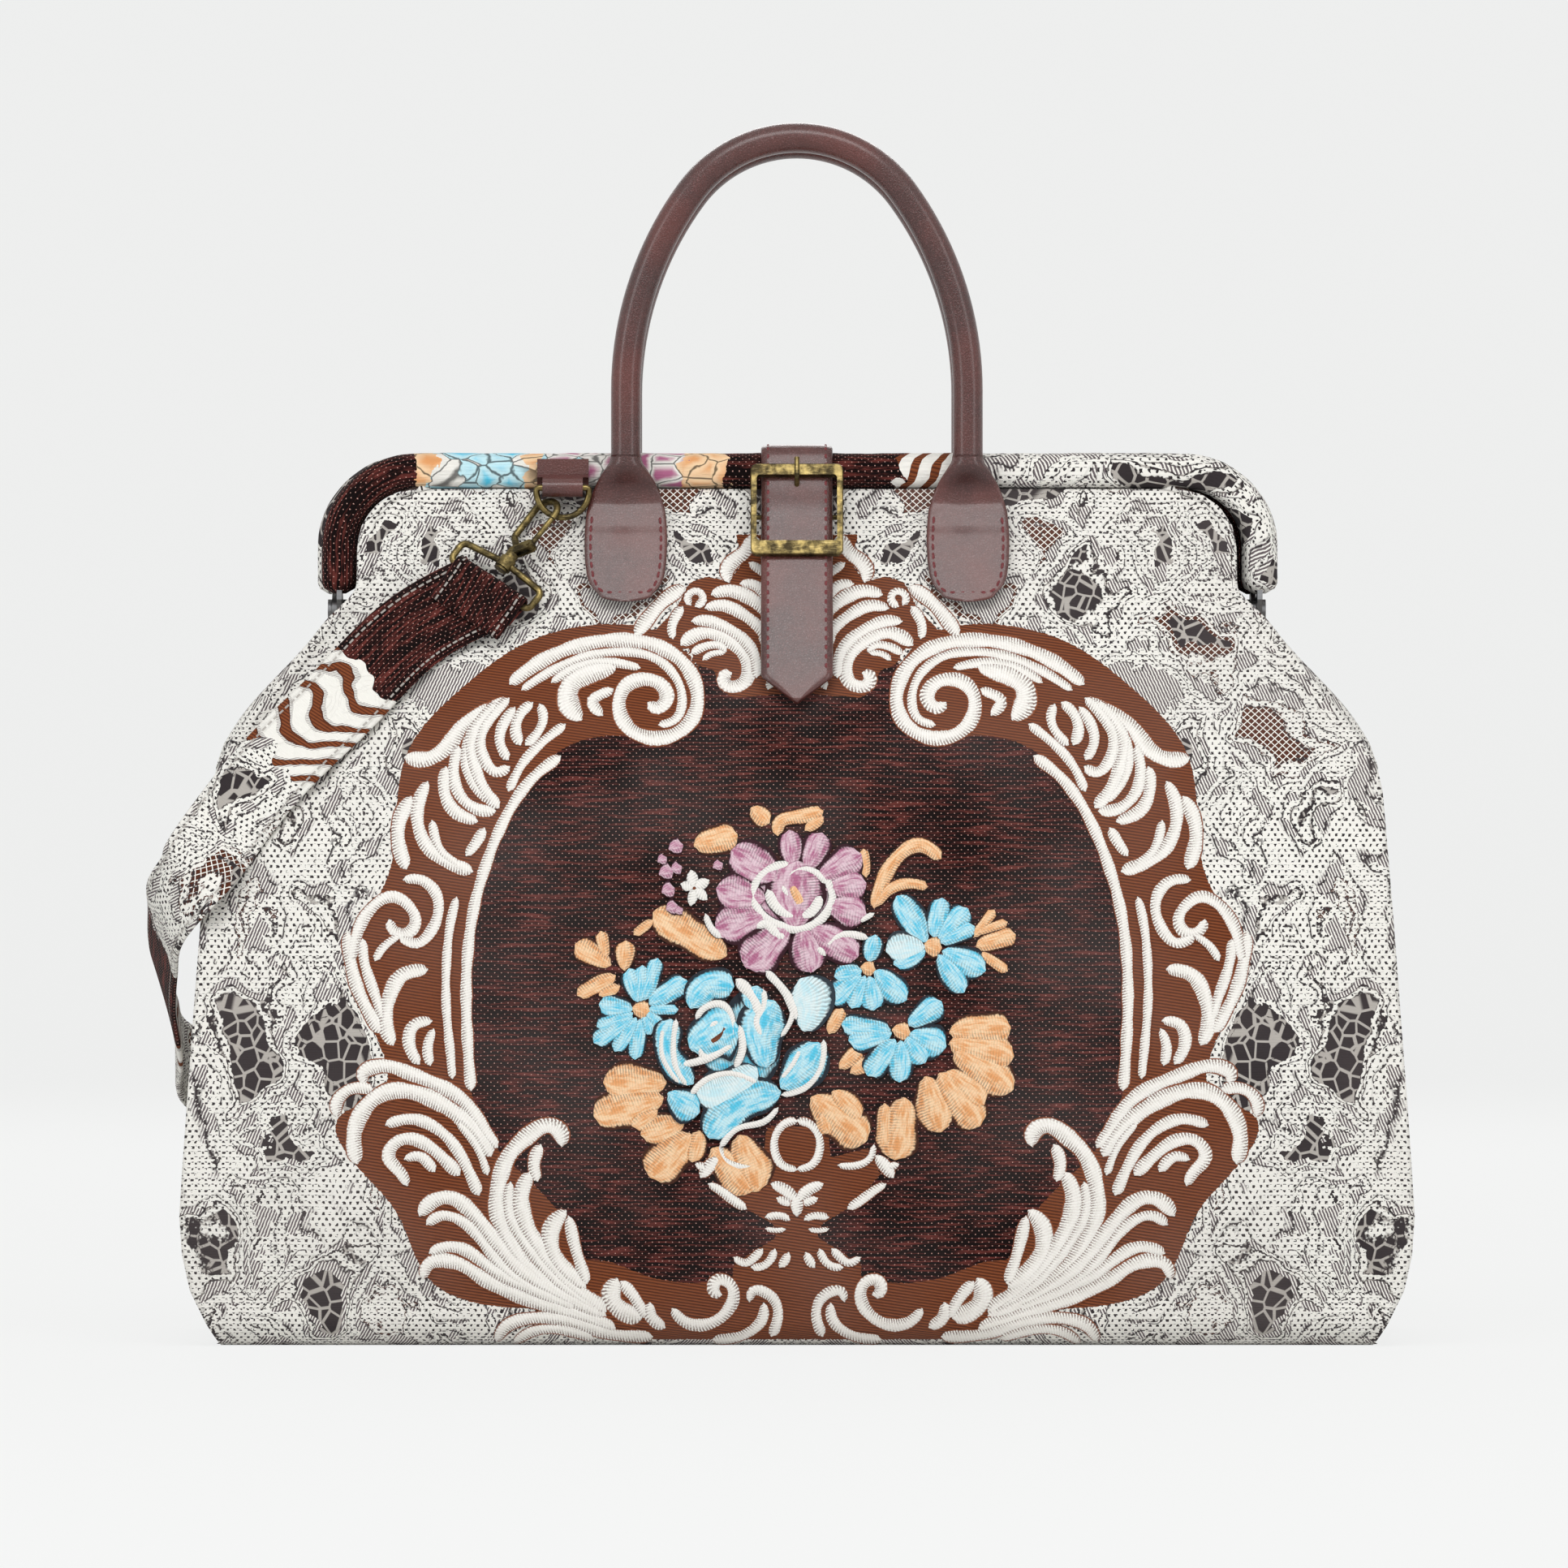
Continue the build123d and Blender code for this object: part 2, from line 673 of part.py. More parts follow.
with BuildPart() as hook:
    with BuildLine(hook_plane) as hook_path:
        stem = FilletPolyline(
            (0, shank_from),
            (0, shank_bend),
            (-hook_half_width, stem_start),
            (-hook_half_width, nose_start),
            radius=stem_round,
        )
        bend = ThreePointArc(
            stem @ 1, (0, nose_start + hook_half_width), (hook_half_width, nose_start)
        )
        Line(bend @ 1, (hook_half_width, nose_end))
    with BuildSketch(Plane(hook_path.line @ 0, z_dir=hook_path.line % 0)):
        Circle(hook_wire)
    sweep()
    for low, high, radius in [
        (hub_low - collar_play - collar_thickness, hub_low - collar_play, collar_radius),
        (hub_low - collar_play - collar_thickness / 2, cheek_root_y, shank_radius),
        (hub_high + collar_play, shank_from + collar_thickness, collar_radius),
    ]:
        with BuildSketch(across_plane.offset(low)):
            Circle(radius)
        extrude(amount=high - low)
    for low in (-cheek_inside - cheek_thickness, cheek_inside):
        with BuildSketch(hook_plane.offset(low)):
            with Locations(gate_pivot):
                Circle(cheek_radius)
            with Locations((0, cheek_root_y)):
                Circle(cheek_root_radius)
            make_hull()
        extrude(amount=cheek_thickness)
    with BuildSketch(hook_plane):
        with Locations(gate_pivot):
            Circle(gate_pin_radius)
    extrude(amount=gate_pin_reach, both=True)
front_and_rear(hook.part, "hook")

with BuildPart() as gate:
    with BuildSketch(hook_plane):
        with Locations(gate_pivot):
            Circle(gate_eye_radius)
            Circle(gate_pin_radius + gate_pin_play, mode=Mode.SUBTRACT)
    extrude(amount=gate_half, both=True)
    with BuildLine(hook_plane) as gate_path:
        Line((gate_pivot[0], gate_pivot[1] + gate_eye_radius), (hook_half_width, nose_end - gate_play))
    with BuildSketch(Plane(gate_path.line @ 0, z_dir=gate_path.line % 0)):
        Circle(gate_wire)
    sweep()
    with BuildSketch(hook_plane):
        with Locations((gate_pivot[0], gate_pivot[1] + gate_tongue_rise)):
            Rectangle(*gate_tongue)
    extrude(amount=gate_half, both=True)
    with BuildSketch(hook_plane):
        with Locations(gate_pivot):
            Circle(gate_pin_radius + gate_pin_play)
    extrude(amount=gate_trim_radius, both=True, mode=Mode.SUBTRACT)
    for out in (-1, 1):
        with BuildSketch(hook_plane.offset(out * (gate_half + gate_trim_radius / 2))):
            with Locations(gate_pivot):
                Circle(gate_trim_radius)
        extrude(amount=gate_trim_radius / 2, both=True, mode=Mode.SUBTRACT)
front_and_rear(gate.part, "gate")

with BuildPart() as bail:
    with BuildSketch(across_plane.offset(hub_low)):
        Circle(hub_radius)
        Circle(shank_radius + shank_play, mode=Mode.SUBTRACT)
    extrude(amount=hub_high - hub_low)
    with BuildLine(bail_plane) as bail_path:
        FilletPolyline(
            (bail_root[0], -bail_root[1]),
            (bail_half_width, -bail_shoulder),
            (bail_half_width, -bail_depth),
            (-bail_half_width, -bail_depth),
            (-bail_half_width, -bail_shoulder),
            (-bail_root[0], -bail_root[1]),
            radius=bail_round,
        )
    with BuildSketch(Plane(bail_path.line @ 0, z_dir=bail_path.line % 0)):
        Circle(bail_wire)
    sweep()
    with BuildSketch(across_plane):
        Circle(shank_radius + shank_play)
    extrude(amount=2 * (hub_high - hub_low), both=True, mode=Mode.SUBTRACT)
front_and_rear(bail.part, "bail")

# Shoulder strap: one strip of the cloth, from the front bail down past the side, behind and up again
bail_bar = hook_origin - hook_up * bail_depth
strap_start = bail_bar - hook_up * strap_lap
strap_stations = [
    (tuple(strap_start), tuple(bail_side)),
    ((-164.8, -41, 301), (0.707, -0.25, -0.66)),
    ((-192, -50, 273.6), (0.7, -0.25, -0.66)),
    ((-219.6, -60, 246.2), (0.71, -0.27, -0.65)),
    ((-243, -66, 217), (0.72, -0.3, -0.62)),
    ((-256, -76, 198), (0.55, -0.45, -0.7)),
    ((-267, -65, 184), (0.42, -0.5, -0.75)),
    ((-270, -40, 172), (0.35, -0.5, -0.79)),
    ((-272, 0, 152), (0.3, -0.5, -0.81)),
    ((-268, 44, 130), (0.1, -0.4, -0.91)),
    ((-264, 98, 113), (-0.05, -0.15, -0.98)),
    ((-232, 108, 98), (-0.15, 0, -0.99)),
    ((-180, 108, 72), (-0.3, 0, -0.95)),
    ((-110, 110, 56), (-0.15, 0, -0.99)),
    ((-30, 110, 52), (0, 0, -1)),
    ((50, 109, 66), (0.25, 0, -0.97)),
    ((115, 107, 100), (0.65, 0, -0.75)),
    ((158, 101, 148), (0.89, 0, -0.45)),
    ((178, 82, 210), (1, 0, -0.05)),
    ((172, 61, 262), (0.95, -0.05, 0.3)),
    ((155, 47, 296), (0.88, -0.15, 0.45)),
    ((-strap_start.X, -strap_start.Y, strap_start.Z), (bail_side.X, bail_side.Y, -bail_side.Z)),
]
with BuildPart() as shoulder_strap:
    middles = [Vector(*middle) for middle, across in strap_stations]
    for i, (middle, across) in enumerate(strap_stations):
        along = middles[min(i + 1, len(middles) - 1)] - middles[max(i - 1, 0)]
        side = Vector(*across).normalized()
        along = (along - side * along.dot(side)).normalized()
        with BuildSketch(Plane(middle, x_dir=side, z_dir=along)):
            Rectangle(shoulder_strap_width, shoulder_strap_thickness)
    loft(ruled=True)
    for turned in (False, True):
        sleeve_start = bail_bar - bail_side * (shoulder_strap_width / 2)
        sleeve_plane = Plane(sleeve_start, z_dir=bail_side)
        if turned:
            sleeve_plane = Plane(sleeve_start.rotate(Axis.Z, 180), z_dir=bail_side.rotate(Axis.Z, 180))
        with BuildSketch(sleeve_plane):
            Circle(sleeve_radius)
        extrude(amount=shoulder_strap_width)
        with BuildSketch(sleeve_plane):
            Circle(bail_wire + sleeve_play)
        extrude(amount=2 * shoulder_strap_width, both=True, mode=Mode.SUBTRACT)
shoulder_strap.part.label = "shoulder_strap"
export_step(shoulder_strap.part, "parts/shoulder_strap.step")

# Woven figures of the cloth, a little raised from its face; points are (across, up) in front view
medallion_line = [
    (0.0, 270.9),
    (-27.0, 263.3),
    (-61.2, 254.8),
    (-85.2, 254.8),
    (-100.9, 248.0),
    (-115.3, 233.2),
    (-123.8, 221.6),
    (-129.6, 208.6),
    (-134.4, 191.9),
    (-137.5, 167.9),
    (-137.5, 140.2),
    (-135.1, 109.1),
    (-125.5, 85.5),
    (-110.8, 70.1),
    (-95.4, 51.3),
    (-87.9, 35.9),
    (-69.8, 23.9),
    (-37.3, 18.5),
    (0.0, 18.5),
]
border_inner_line = [
    (-73.5, 20.5),
    (-87.9, 34.2),
    (-95.4, 49.9),
    (-110.8, 68.7),
    (-126.9, 84.8),
    (-137.1, 107.7),
    (-139.9, 140.2),
    (-139.9, 167.9),
    (-136.5, 192.5),
    (-131.7, 209.3),
    (-125.5, 223.0),
    (-116.6, 234.6),
    (-102.3, 249.7),
    (-85.8, 256.8),
    (-62.6, 256.8),
]
border_outer_line = [
    (-45.5, 263.3),
    (-41.4, 280.4),
    (-54.4, 299.2),
    (-81.7, 305.1),
    (-115.9, 296.9),
    (-143.3, 277.0),
    (-165.5, 249.7),
    (-170.0, 212.0),
    (-174.1, 194.9),
    (-185.7, 171.0),
    (-184.3, 147.1),
    (-174.1, 123.1),
    (-174.1, 107.7),
    (-193.9, 95.8),
    (-184.3, 75.2),
    (-167.2, 54.7),
    (-153.6, 27.4),
    (-115.9, 16.4),
    (-88.6, 16.4),
]
# Leaves as (base across, base up, tip across, tip up, half width)
leaf_places = [
    (-43.4, 194.9, -57.1, 216.1, 5.5),
    (-30.4, 205.2, -41.4, 218.9, 5.1),
    (-13.3, 220.6, -18.5, 234.3, 4.1),
    (0.3, 218.9, 8.9, 232.6, 4.1),
    (27.7, 198.4, 48.2, 213.8, 4.1),
    (32.8, 193.2, 61.9, 210.3, 4.1),
    (-33.9, 165.9, -61.2, 181.3, 6.8),
    (-68.1, 152.2, -80.0, 174.4, 5.5),
    (-74.9, 147.1, -93.7, 167.6, 4.8),
    (68.7, 167.6, 84.1, 184.7, 4.8),
    (72.2, 160.7, 91.0, 171.0, 4.8),
    (-57.8, 109.4, -86.9, 94.1, 8.9),
    (-44.1, 92.3, -64.6, 70.1, 8.9),
    (-23.6, 90.6, -18.5, 65.0, 8.2),
    (10.6, 107.7, 27.7, 88.9, 7.5),
    (27.7, 112.9, 46.5, 80.4, 10.3),
    (48.2, 109.4, 75.6, 90.6, 9.6),
    (58.5, 126.5, 91.0, 112.9, 9.6),
    (55.1, 126.5, 82.4, 138.5, 7.5),
]
# Flowers as (across, up, radius, petals, petal radius)
rose_places = [
    (-23, 124, 22, 6, 11),
    (-66, 143, 9, 5, 8),
    (58, 167, 9, 5, 8),
    (43, 135, 9, 5, 8),
    (29, 158, 7, 5, 7),
]
peony_places = [
    (-1.4, 190, 24, 7, 10),
    (-50, 197, 8, 5, 4.5),
]
urn_line = [(0, 72), (25, 76), (24, 66), (8, 54), (8, 46), (26, 34), (24, 30), (0, 30), (0, 72)]
urn_knob = (1.4, 86.5)
urn_knob_radius = 9.0
urn_knob_hole = 5.5


def bloom(x, z, radius, petals, petal_radius):
    """A round flower: a disc with a ring of petals."""
    with Locations((x, z)):
        Circle(radius)
        with PolarLocations(radius, petals):
            Circle(petal_radius)


with BuildSketch(Plane.XZ) as rose_shape:
    for place in rose_places:
        bloom(*place)
with BuildSketch(Plane.XZ) as peony_shape:
    for place in peony_places:
        bloom(*place)
    add(rose_shape.sketch, mode=Mode.SUBTRACT)
with BuildSketch(Plane.XZ) as leaf_shape:
    for x0, z0, x1, z1, half in leaf_places:
        base = Vector(x0, z0)
        tip = Vector(x1, z1)
        middle = (base + tip) * 0.5
        across = (tip - base).normalized().rotate(Axis.Z, 90) * half
        with BuildLine():
            ThreePointArc(base, middle + across, tip)
            ThreePointArc(tip, middle - across, base)
        make_face()
    add(rose_shape.sketch, mode=Mode.SUBTRACT)
    add(peony_shape.sketch, mode=Mode.SUBTRACT)
with BuildSketch(Plane.XZ) as urn_shape:
    with Locations(urn_knob):
        Circle(urn_knob_radius)
        Circle(urn_knob_hole, mode=Mode.SUBTRACT)
    with BuildLine():
        Polyline(*urn_line)
    make_face()
    mirror(about=Plane.YZ)
    add(leaf_shape.sketch, mode=Mode.SUBTRACT)
    add(rose_shape.sketch, mode=Mode.SUBTRACT)
with BuildSketch(Plane.XZ) as medallion_shape:
    with BuildLine():
        edge = Spline(*medallion_line)
        Line(edge @ 1, edge @ 0)
    make_face()
    mirror(about=Plane.YZ)
    for flower in (peony_shape, rose_shape, leaf_shape, urn_shape):
        add(flower.sketch, mode=Mode.SUBTRACT)
with BuildSketch(Plane.XZ) as border_shape:
    with BuildLine():
        near = Spline(*border_inner_line)
        far = Spline(*border_outer_line)
        Line(near @ 1, far @ 0)
        Line(far @ 1, near @ 0)
    make_face()
    mirror(about=Plane.YZ)

relief_form = body_form(-relief, open_rise)
with BuildPart() as relief_layer:
    add(relief_form)
    add(outer, mode=Mode.SUBTRACT)
    split(bisect_by=Plane.XZ, keep=Keep.TOP)
for shape, name in [
    (medallion_shape, "medallion_field"),
    (border_shape, "scroll_border"),
    (urn_shape, "urn_figure"),
    (peony_shape, "peony_figure"),
    (rose_shape, "blue_roses"),
    (leaf_shape, "peach_leaves"),
]:
    with BuildPart() as figure:
        add(shape.sketch)
        extrude(amount=belly_half_depth * 1.5, dir=(0, -1, 0))
        add(relief_layer.part, mode=Mode.INTERSECT)
    front_and_rear(figure.part, name)
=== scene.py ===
import bpy
import functools
import math
import numpy as np
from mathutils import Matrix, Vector


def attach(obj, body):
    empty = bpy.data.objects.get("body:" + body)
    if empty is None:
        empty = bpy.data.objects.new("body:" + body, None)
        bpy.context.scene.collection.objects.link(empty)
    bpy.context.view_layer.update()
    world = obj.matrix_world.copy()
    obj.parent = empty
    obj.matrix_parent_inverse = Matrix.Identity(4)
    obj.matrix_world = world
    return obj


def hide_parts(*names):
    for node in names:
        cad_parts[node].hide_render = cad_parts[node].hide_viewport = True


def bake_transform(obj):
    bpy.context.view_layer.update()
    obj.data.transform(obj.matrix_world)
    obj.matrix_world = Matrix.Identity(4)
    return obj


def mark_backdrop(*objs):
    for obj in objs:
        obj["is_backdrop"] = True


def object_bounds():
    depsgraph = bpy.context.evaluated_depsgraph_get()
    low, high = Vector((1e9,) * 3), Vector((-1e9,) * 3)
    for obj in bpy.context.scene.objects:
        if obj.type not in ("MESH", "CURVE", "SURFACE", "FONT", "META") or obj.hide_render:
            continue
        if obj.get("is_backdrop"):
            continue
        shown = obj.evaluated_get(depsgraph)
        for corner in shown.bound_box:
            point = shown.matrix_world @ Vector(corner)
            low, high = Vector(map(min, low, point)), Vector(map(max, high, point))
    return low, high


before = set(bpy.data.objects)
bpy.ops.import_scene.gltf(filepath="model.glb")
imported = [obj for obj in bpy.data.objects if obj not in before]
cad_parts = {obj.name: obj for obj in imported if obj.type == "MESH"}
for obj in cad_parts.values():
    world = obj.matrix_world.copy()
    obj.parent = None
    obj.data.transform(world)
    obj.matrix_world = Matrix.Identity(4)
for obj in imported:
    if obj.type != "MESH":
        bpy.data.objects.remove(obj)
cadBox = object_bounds()
mm = 0.001
rng = np.random.default_rng(7)
print("stage: frame loaded")


# shader maths: a socket that takes part in plain expressions
class Strand:
    def __init__(self, tree, out=None):
        self.tree, self.out = tree, out

    def node(self, kind, settings=None, inputs=None, output=0):
        made = self.tree.nodes.new(kind)
        for key, value in (settings or {}).items():
            if key == "stops":
                ramp = made.color_ramp
                for place, colour in value[2:]:
                    ramp.elements.new(place)
                for element, (place, colour) in zip(ramp.elements, sorted(value)):
                    element.position, element.color = place, (*colour, 1)
            else:
                setattr(made, key, value)
        for key, value in (inputs or {}).items():
            if isinstance(value, Strand):
                self.tree.links.new(value.out, made.inputs[key])
            else:
                made.inputs[key].default_value = value
        return Strand(self.tree, made.outputs[output])

    def maths(self, operation, *others):
        values = dict(enumerate((self,) + others))
        return self.node("ShaderNodeMath", {"operation": operation}, values)

    def __add__(self, other): return self.maths("ADD", other)
    def __mul__(self, other): return self.maths("MULTIPLY", other)
    def __sub__(self, other): return self.maths("SUBTRACT", other)
    def __truediv__(self, other): return self.maths("DIVIDE", other)
    def __gt__(self, other): return self.maths("GREATER_THAN", other)
    def __lt__(self, other): return self.maths("LESS_THAN", other)
    def __abs__(self): return self.maths("ABSOLUTE")
    __radd__, __rmul__ = __add__, __mul__
    def __rsub__(self, other): return self * -1.0 + other
    def fract(self): return self.maths("FRACT")
    def floor(self): return self.maths("FLOOR")
    def sine(self): return self.maths("SINE")
    def most(self, other): return self.maths("MAXIMUM", other)

    def fade(self, low, high):  # 0 at low, 1 at high, smooth between
        return self.node("ShaderNodeMapRange", {"interpolation_type": "SMOOTHSTEP"},
                         {0: self, 1: low, 2: high, 3: 0.0, 4: 1.0})

    def mixed(self, first, second):  # self is the factor, the ends are colours
        first, second = [(*c, 1) if isinstance(c, tuple) else c for c in (first, second)]
        return self.node("ShaderNodeMix", {"data_type": "RGBA"}, {0: self, 6: first, 7: second}, 2)

    def noise(self, place, scale=1.0, detail=2.0, rough=0.5):
        inputs = {"Vector": place, "Scale": scale, "Detail": detail, "Roughness": rough}
        return self.node("ShaderNodeTexNoise", {}, inputs)

    def cells(self, place, scale, feature="DISTANCE_TO_EDGE", output=0):
        return self.node("ShaderNodeTexVoronoi", {"feature": feature}, {"Vector": place, "Scale": scale}, output)

    def place(self, x, y, z=0.0):
        return self.node("ShaderNodeCombineXYZ", {}, {0: x, 1: y, 2: z})

    def parts(self, vector):
        return [self.node("ShaderNodeSeparateXYZ", {}, {0: vector}, i) for i in range(3)]

    def attribute(self, name):
        return self.node("ShaderNodeAttribute", {"attribute_name": name}, {}, 2)

    def onCloth(self):  # place on the cloth in millimetres, across and up
        x, y, z = self.parts(self.node("ShaderNodeUVMap", {"uv_map": "cloth"}))
        return x * 1000.0, y * 1000.0

    def onObject(self):
        return self.node("ShaderNodeTexCoord", {}, {}, 3)


def rgb(r, g, b):  # an 8-bit screen colour as a linear one
    return tuple(((c / 255 + 0.055) / 1.055) ** 2.4 if c > 10 else c / 255 / 12.92 for c in (r, g, b))


def makeMaterial(name, build, **fixed):
    material = bpy.data.materials.new(name)
    material.use_nodes = True
    tree = material.node_tree
    surface = tree.nodes["Principled BSDF"]
    for key, value in fixed.items():
        surface.inputs[key.replace("_", " ")].default_value = value
    made = build(Strand(tree))
    for key, value in made.items():
        if key == "Height":
            height, strength, distance = value
            inputs = {"Strength": strength, "Distance": distance, "Height": height}
            key, value = "Normal", height.node("ShaderNodeBump", {}, inputs)
        if isinstance(value, Strand):
            tree.links.new(value.out, surface.inputs[key])
        else:
            surface.inputs[key].default_value = (*value, 1) if isinstance(value, tuple) else value
    return material


# the cloth's grounds, each from the place on the cloth in millimetres
yarn = {
    "cream": rgb(236, 233, 227), "creamShade": rgb(176, 170, 164), "ink": rgb(52, 46, 48),
    "hatchDark": rgb(104, 94, 97), "brown": rgb(132, 72, 42), "umber": rgb(84, 44, 29),
    "pileDark": rgb(12, 3, 3), "pileLight": rgb(100, 47, 42), "dot": rgb(214, 168, 156),
    "pink": rgb(176, 104, 138), "pinkPale": rgb(222, 196, 206), "blue": rgb(84, 196, 228),
    "bluePale": rgb(196, 230, 238), "peach": rgb(228, 160, 104), "peachPale": rgb(243, 208, 168),
}


lace = {  # sizes in millimetres
    "lobeWide": 33.0, "lobeHigh": 43.0, "drift": 50.0, "meshWide": 6.0, "meshHigh": 6.8,
    "dashPitch": 2.9, "dashRow": 2.3, "lattice": 3.3, "ring": 0.165,
}


def laceColour(s, u, v):
    half = abs(u)
    wavy = s.noise(s.place(half * 0.03, v * 0.03))
    wavy2 = s.noise(s.place(v * 0.032 + 7.0, half * 0.032))
    big = s.place((half + (wavy - 0.5) * lace["drift"]) / lace["lobeWide"],
                  (v + (wavy2 - 0.5) * lace["drift"]) / lace["lobeHigh"])
    edge = s.cells(big, 1.0)
    kind, kind2, kind3 = s.parts(s.cells(big, 1.0, "F1", 1))
    net = s.cells(s.place(half / lace["meshWide"], v / lace["meshHigh"]), 1.0)
    speck = s.noise(s.place(half * 0.085, v * 0.07), 1.0, 3.0)
    fine = s.noise(s.place(half * 0.55, v * 0.55), 1.0, 1.0)
    # dashes in staggered rows, thinned out by chance
    across, up = half / lace["dashPitch"], v / lace["dashRow"]
    shift = (up.floor() * 0.5).fract() + fine * 0.8
    dash = ((across + shift).fract() < 0.34) * ((up + wavy).fract() < 0.56) * (fine > 0.38)
    hatch = (half * 0.74 + v * 0.30 + fine * 0.5).fract() < 0.55
    rising, falling = [abs((way / lace["lattice"]).fract() - 0.5) for way in (half + v, half - v)]
    lattice = rising.most(falling) > 0.41
    dark = net.fade(0.05, 0.09)
    cream = dash.mixed(yarn["cream"], yarn["ink"])
    hatched = hatch.mixed(yarn["cream"], yarn["hatchDark"])
    netted = dark.mixed(yarn["creamShade"], yarn["ink"])
    latticed = lattice.mixed(yarn["umber"], yarn["cream"])
    inside = edge + (fine - 0.5) * 0.05 + (speck - 0.5) * 0.16
    ground = (speck < 0.47).mixed(cream, hatched)
    ground = ((inside > 0.12) * (kind > 0.60)).mixed(ground, netted)
    ground = ((inside > 0.13) * (kind < 0.27)).mixed(ground, latticed)
    ground = ((inside > 0.20) * (kind2 > 0.55)).mixed(ground, hatched)
    ground = ((inside > 0.27) * (kind3 > 0.5)).mixed(ground, netted)
    # corded outlines of the lobes, pale, with a thin ink line beside them that is painted shadow of the raised cords
    cord = 1 - edge.fade(0.035, 0.055)
    ring = abs(inside - lace["ring"])
    second = 1 - ring.fade(0.018, 0.03)
    cordShadowBand = edge.fade(0.05, 0.06) * (1 - edge.fade(0.062, 0.076))
    shade = cordShadowBand + ring.fade(0.028, 0.034) * (1 - ring.fade(0.036, 0.046))
    # painted shadow: ink beside each raised cord, kept where the fine noise is high
    ground = (shade * (fine > 0.46)).mixed(ground, yarn["ink"])
    second = second * (kind3 > 0.35)
    ground = cord.most(second).mixed(ground, cream)
    height = cord * 0.8 + second * 0.6 + (1 - dash) * 0.12 + (kind > 0.60) * -0.3
    return ground, height


chenille = {"row": 1.6, "pitch": 2.83, "dotSquare": 0.05}


def pileColour(s, u, v):
    streak = s.noise(s.place(u * 0.06, v * 0.62), 1.0, 4.0, 0.75)
    broad = s.noise(s.place(u * 0.04, v * 0.2))
    shade = (streak + (broad - 0.5) * 0.25).fade(0.46, 0.64)
    colour = shade.mixed(yarn["pileDark"], yarn["pileLight"])
    rows = v / chenille["row"]
    shift = (rows.floor() * 0.5).fract()
    across = abs((u / chenille["pitch"] + shift).fract() - 0.5) * chenille["pitch"]
    up = abs(rows.fract() - 0.5) * chenille["row"]
    dots = (across * across + up * up) < chenille["dotSquare"]
    colour = (dots * 0.92).mixed(colour, yarn["dot"])
    return colour, shade * 0.6 - dots * 0.5


def satinColour(s, u, v):  # plain brown satin with a slanting rib
    shade = abs((v * 0.75 + u * 0.12).fract() - 0.5).fade(0.05, 0.5)
    return shade.mixed(yarn["brown"], yarn["umber"]), shade * 0.6


def ribbed(s, v):  # the weft's fine rib
    return abs((v / 1.05).fract() - 0.5) * 0.30


def buildFrontCloth(s):
    u, v = s.onCloth()
    ground, height = laceColour(s, u, v)
    pile, pileHeight = pileColour(s, u, v)
    brown, brownHeight = satinColour(s, u, v)
    wobble = (s.noise(s.place(u * 0.9, v * 0.9), 1.0, 1.0) - 0.5) * 0.0011
    border = (s.attribute("border") + wobble) < 0.0
    medallion = (s.attribute("medallion") + wobble) < 0.004
    colour = medallion.mixed(ground, pile)
    colour = border.mixed(colour, brown)
    height = height * (1 - border) * (1 - medallion) + brownHeight * border
    height = height + pileHeight * medallion * (1 - border)
    dirt = s.noise(s.place(u * 0.012, v * 0.012)).fade(0.3, 0.75) * 0.12
    colour = dirt.mixed(colour, rgb(150, 140, 138))
    return {"Base Color": colour, "Height": (height + ribbed(s, v), 0.55, 0.0011)}


clothFixed = {"Roughness": 0.9, "Sheen_Weight": 0.03, "Specular_IOR_Level": 0.12}
frontCloth = makeMaterial("tapestryGround", buildFrontCloth, **clothFixed)


def makeThread(name, light, pale, edge, shadeSide=0.75, rimAt=0.72):
    # one woven stroke: the cloth's place runs along it in metres and across it from 0 to 1
    deep = tuple(0.35 * a + 0.65 * b for a, b in zip(edge, (0.10, 0.085, 0.08)))

    def build(s):
        x, y, z = s.parts(s.node("ShaderNodeUVMap", {"uv_map": "cloth"}))
        along = x * 1000.0
        across = y * 2.0 - 1.0
        fuzz = s.noise(s.place(along * 0.9, y * 9.0))
        satin = ((along * 0.85 + y * 1.4 + fuzz * 0.8).fract() < 0.5) * 1.0
        streaks = s.noise(s.place(along * 0.12, y * 7.0), 1.0, 3.0, 0.7)
        body = (streaks.fade(0.35, 0.62)).mixed(light, pale)
        body = (satin * 0.10).mixed(body, edge)
        ragged = (fuzz - 0.5) * 0.9
        side = (across * -1.0 + ragged).fade(-0.1, 0.75).most((across + ragged).fade(0.5, 0.9) * 0.6)
        body = (side * satin * shadeSide).mixed(body, deep)
        rim = (abs(across) + (fuzz - 0.5) * 0.30).fade(rimAt, rimAt + 0.12)
        colour = rim.mixed(body, edge)
        return {"Base Color": colour, "Height": (satin * 0.25 + streaks * 0.4 - rim * 0.4, 0.6, 0.0006)}
    return makeMaterial(name, build, Roughness=0.72, Sheen_Weight=0.05, Specular_IOR_Level=0.2)


threads = {
    "cream": makeThread("creamThread", yarn["cream"], rgb(244, 241, 236), yarn["brown"], 0.85, 0.80),
    "white": makeThread("whiteThread", yarn["cream"], rgb(240, 236, 232), yarn["ink"], 0.35, 0.80),
    "pink": makeThread("pinkThread", yarn["pink"], yarn["pinkPale"], rgb(48, 18, 28), 0.5),
    "blue": makeThread("blueThread", yarn["blue"], yarn["bluePale"], rgb(34, 40, 48), 0.4),
    "pale": makeThread("paleBlueThread", yarn["bluePale"], rgb(222, 236, 238), rgb(44, 52, 60), 0.35),
    "peach": makeThread("peachThread", yarn["peach"], yarn["peachPale"], rgb(64, 34, 22), 0.5, 0.76),
    "brown": makeThread("brownThread", yarn["umber"], yarn["brown"], yarn["pileDark"], 0.5),
}


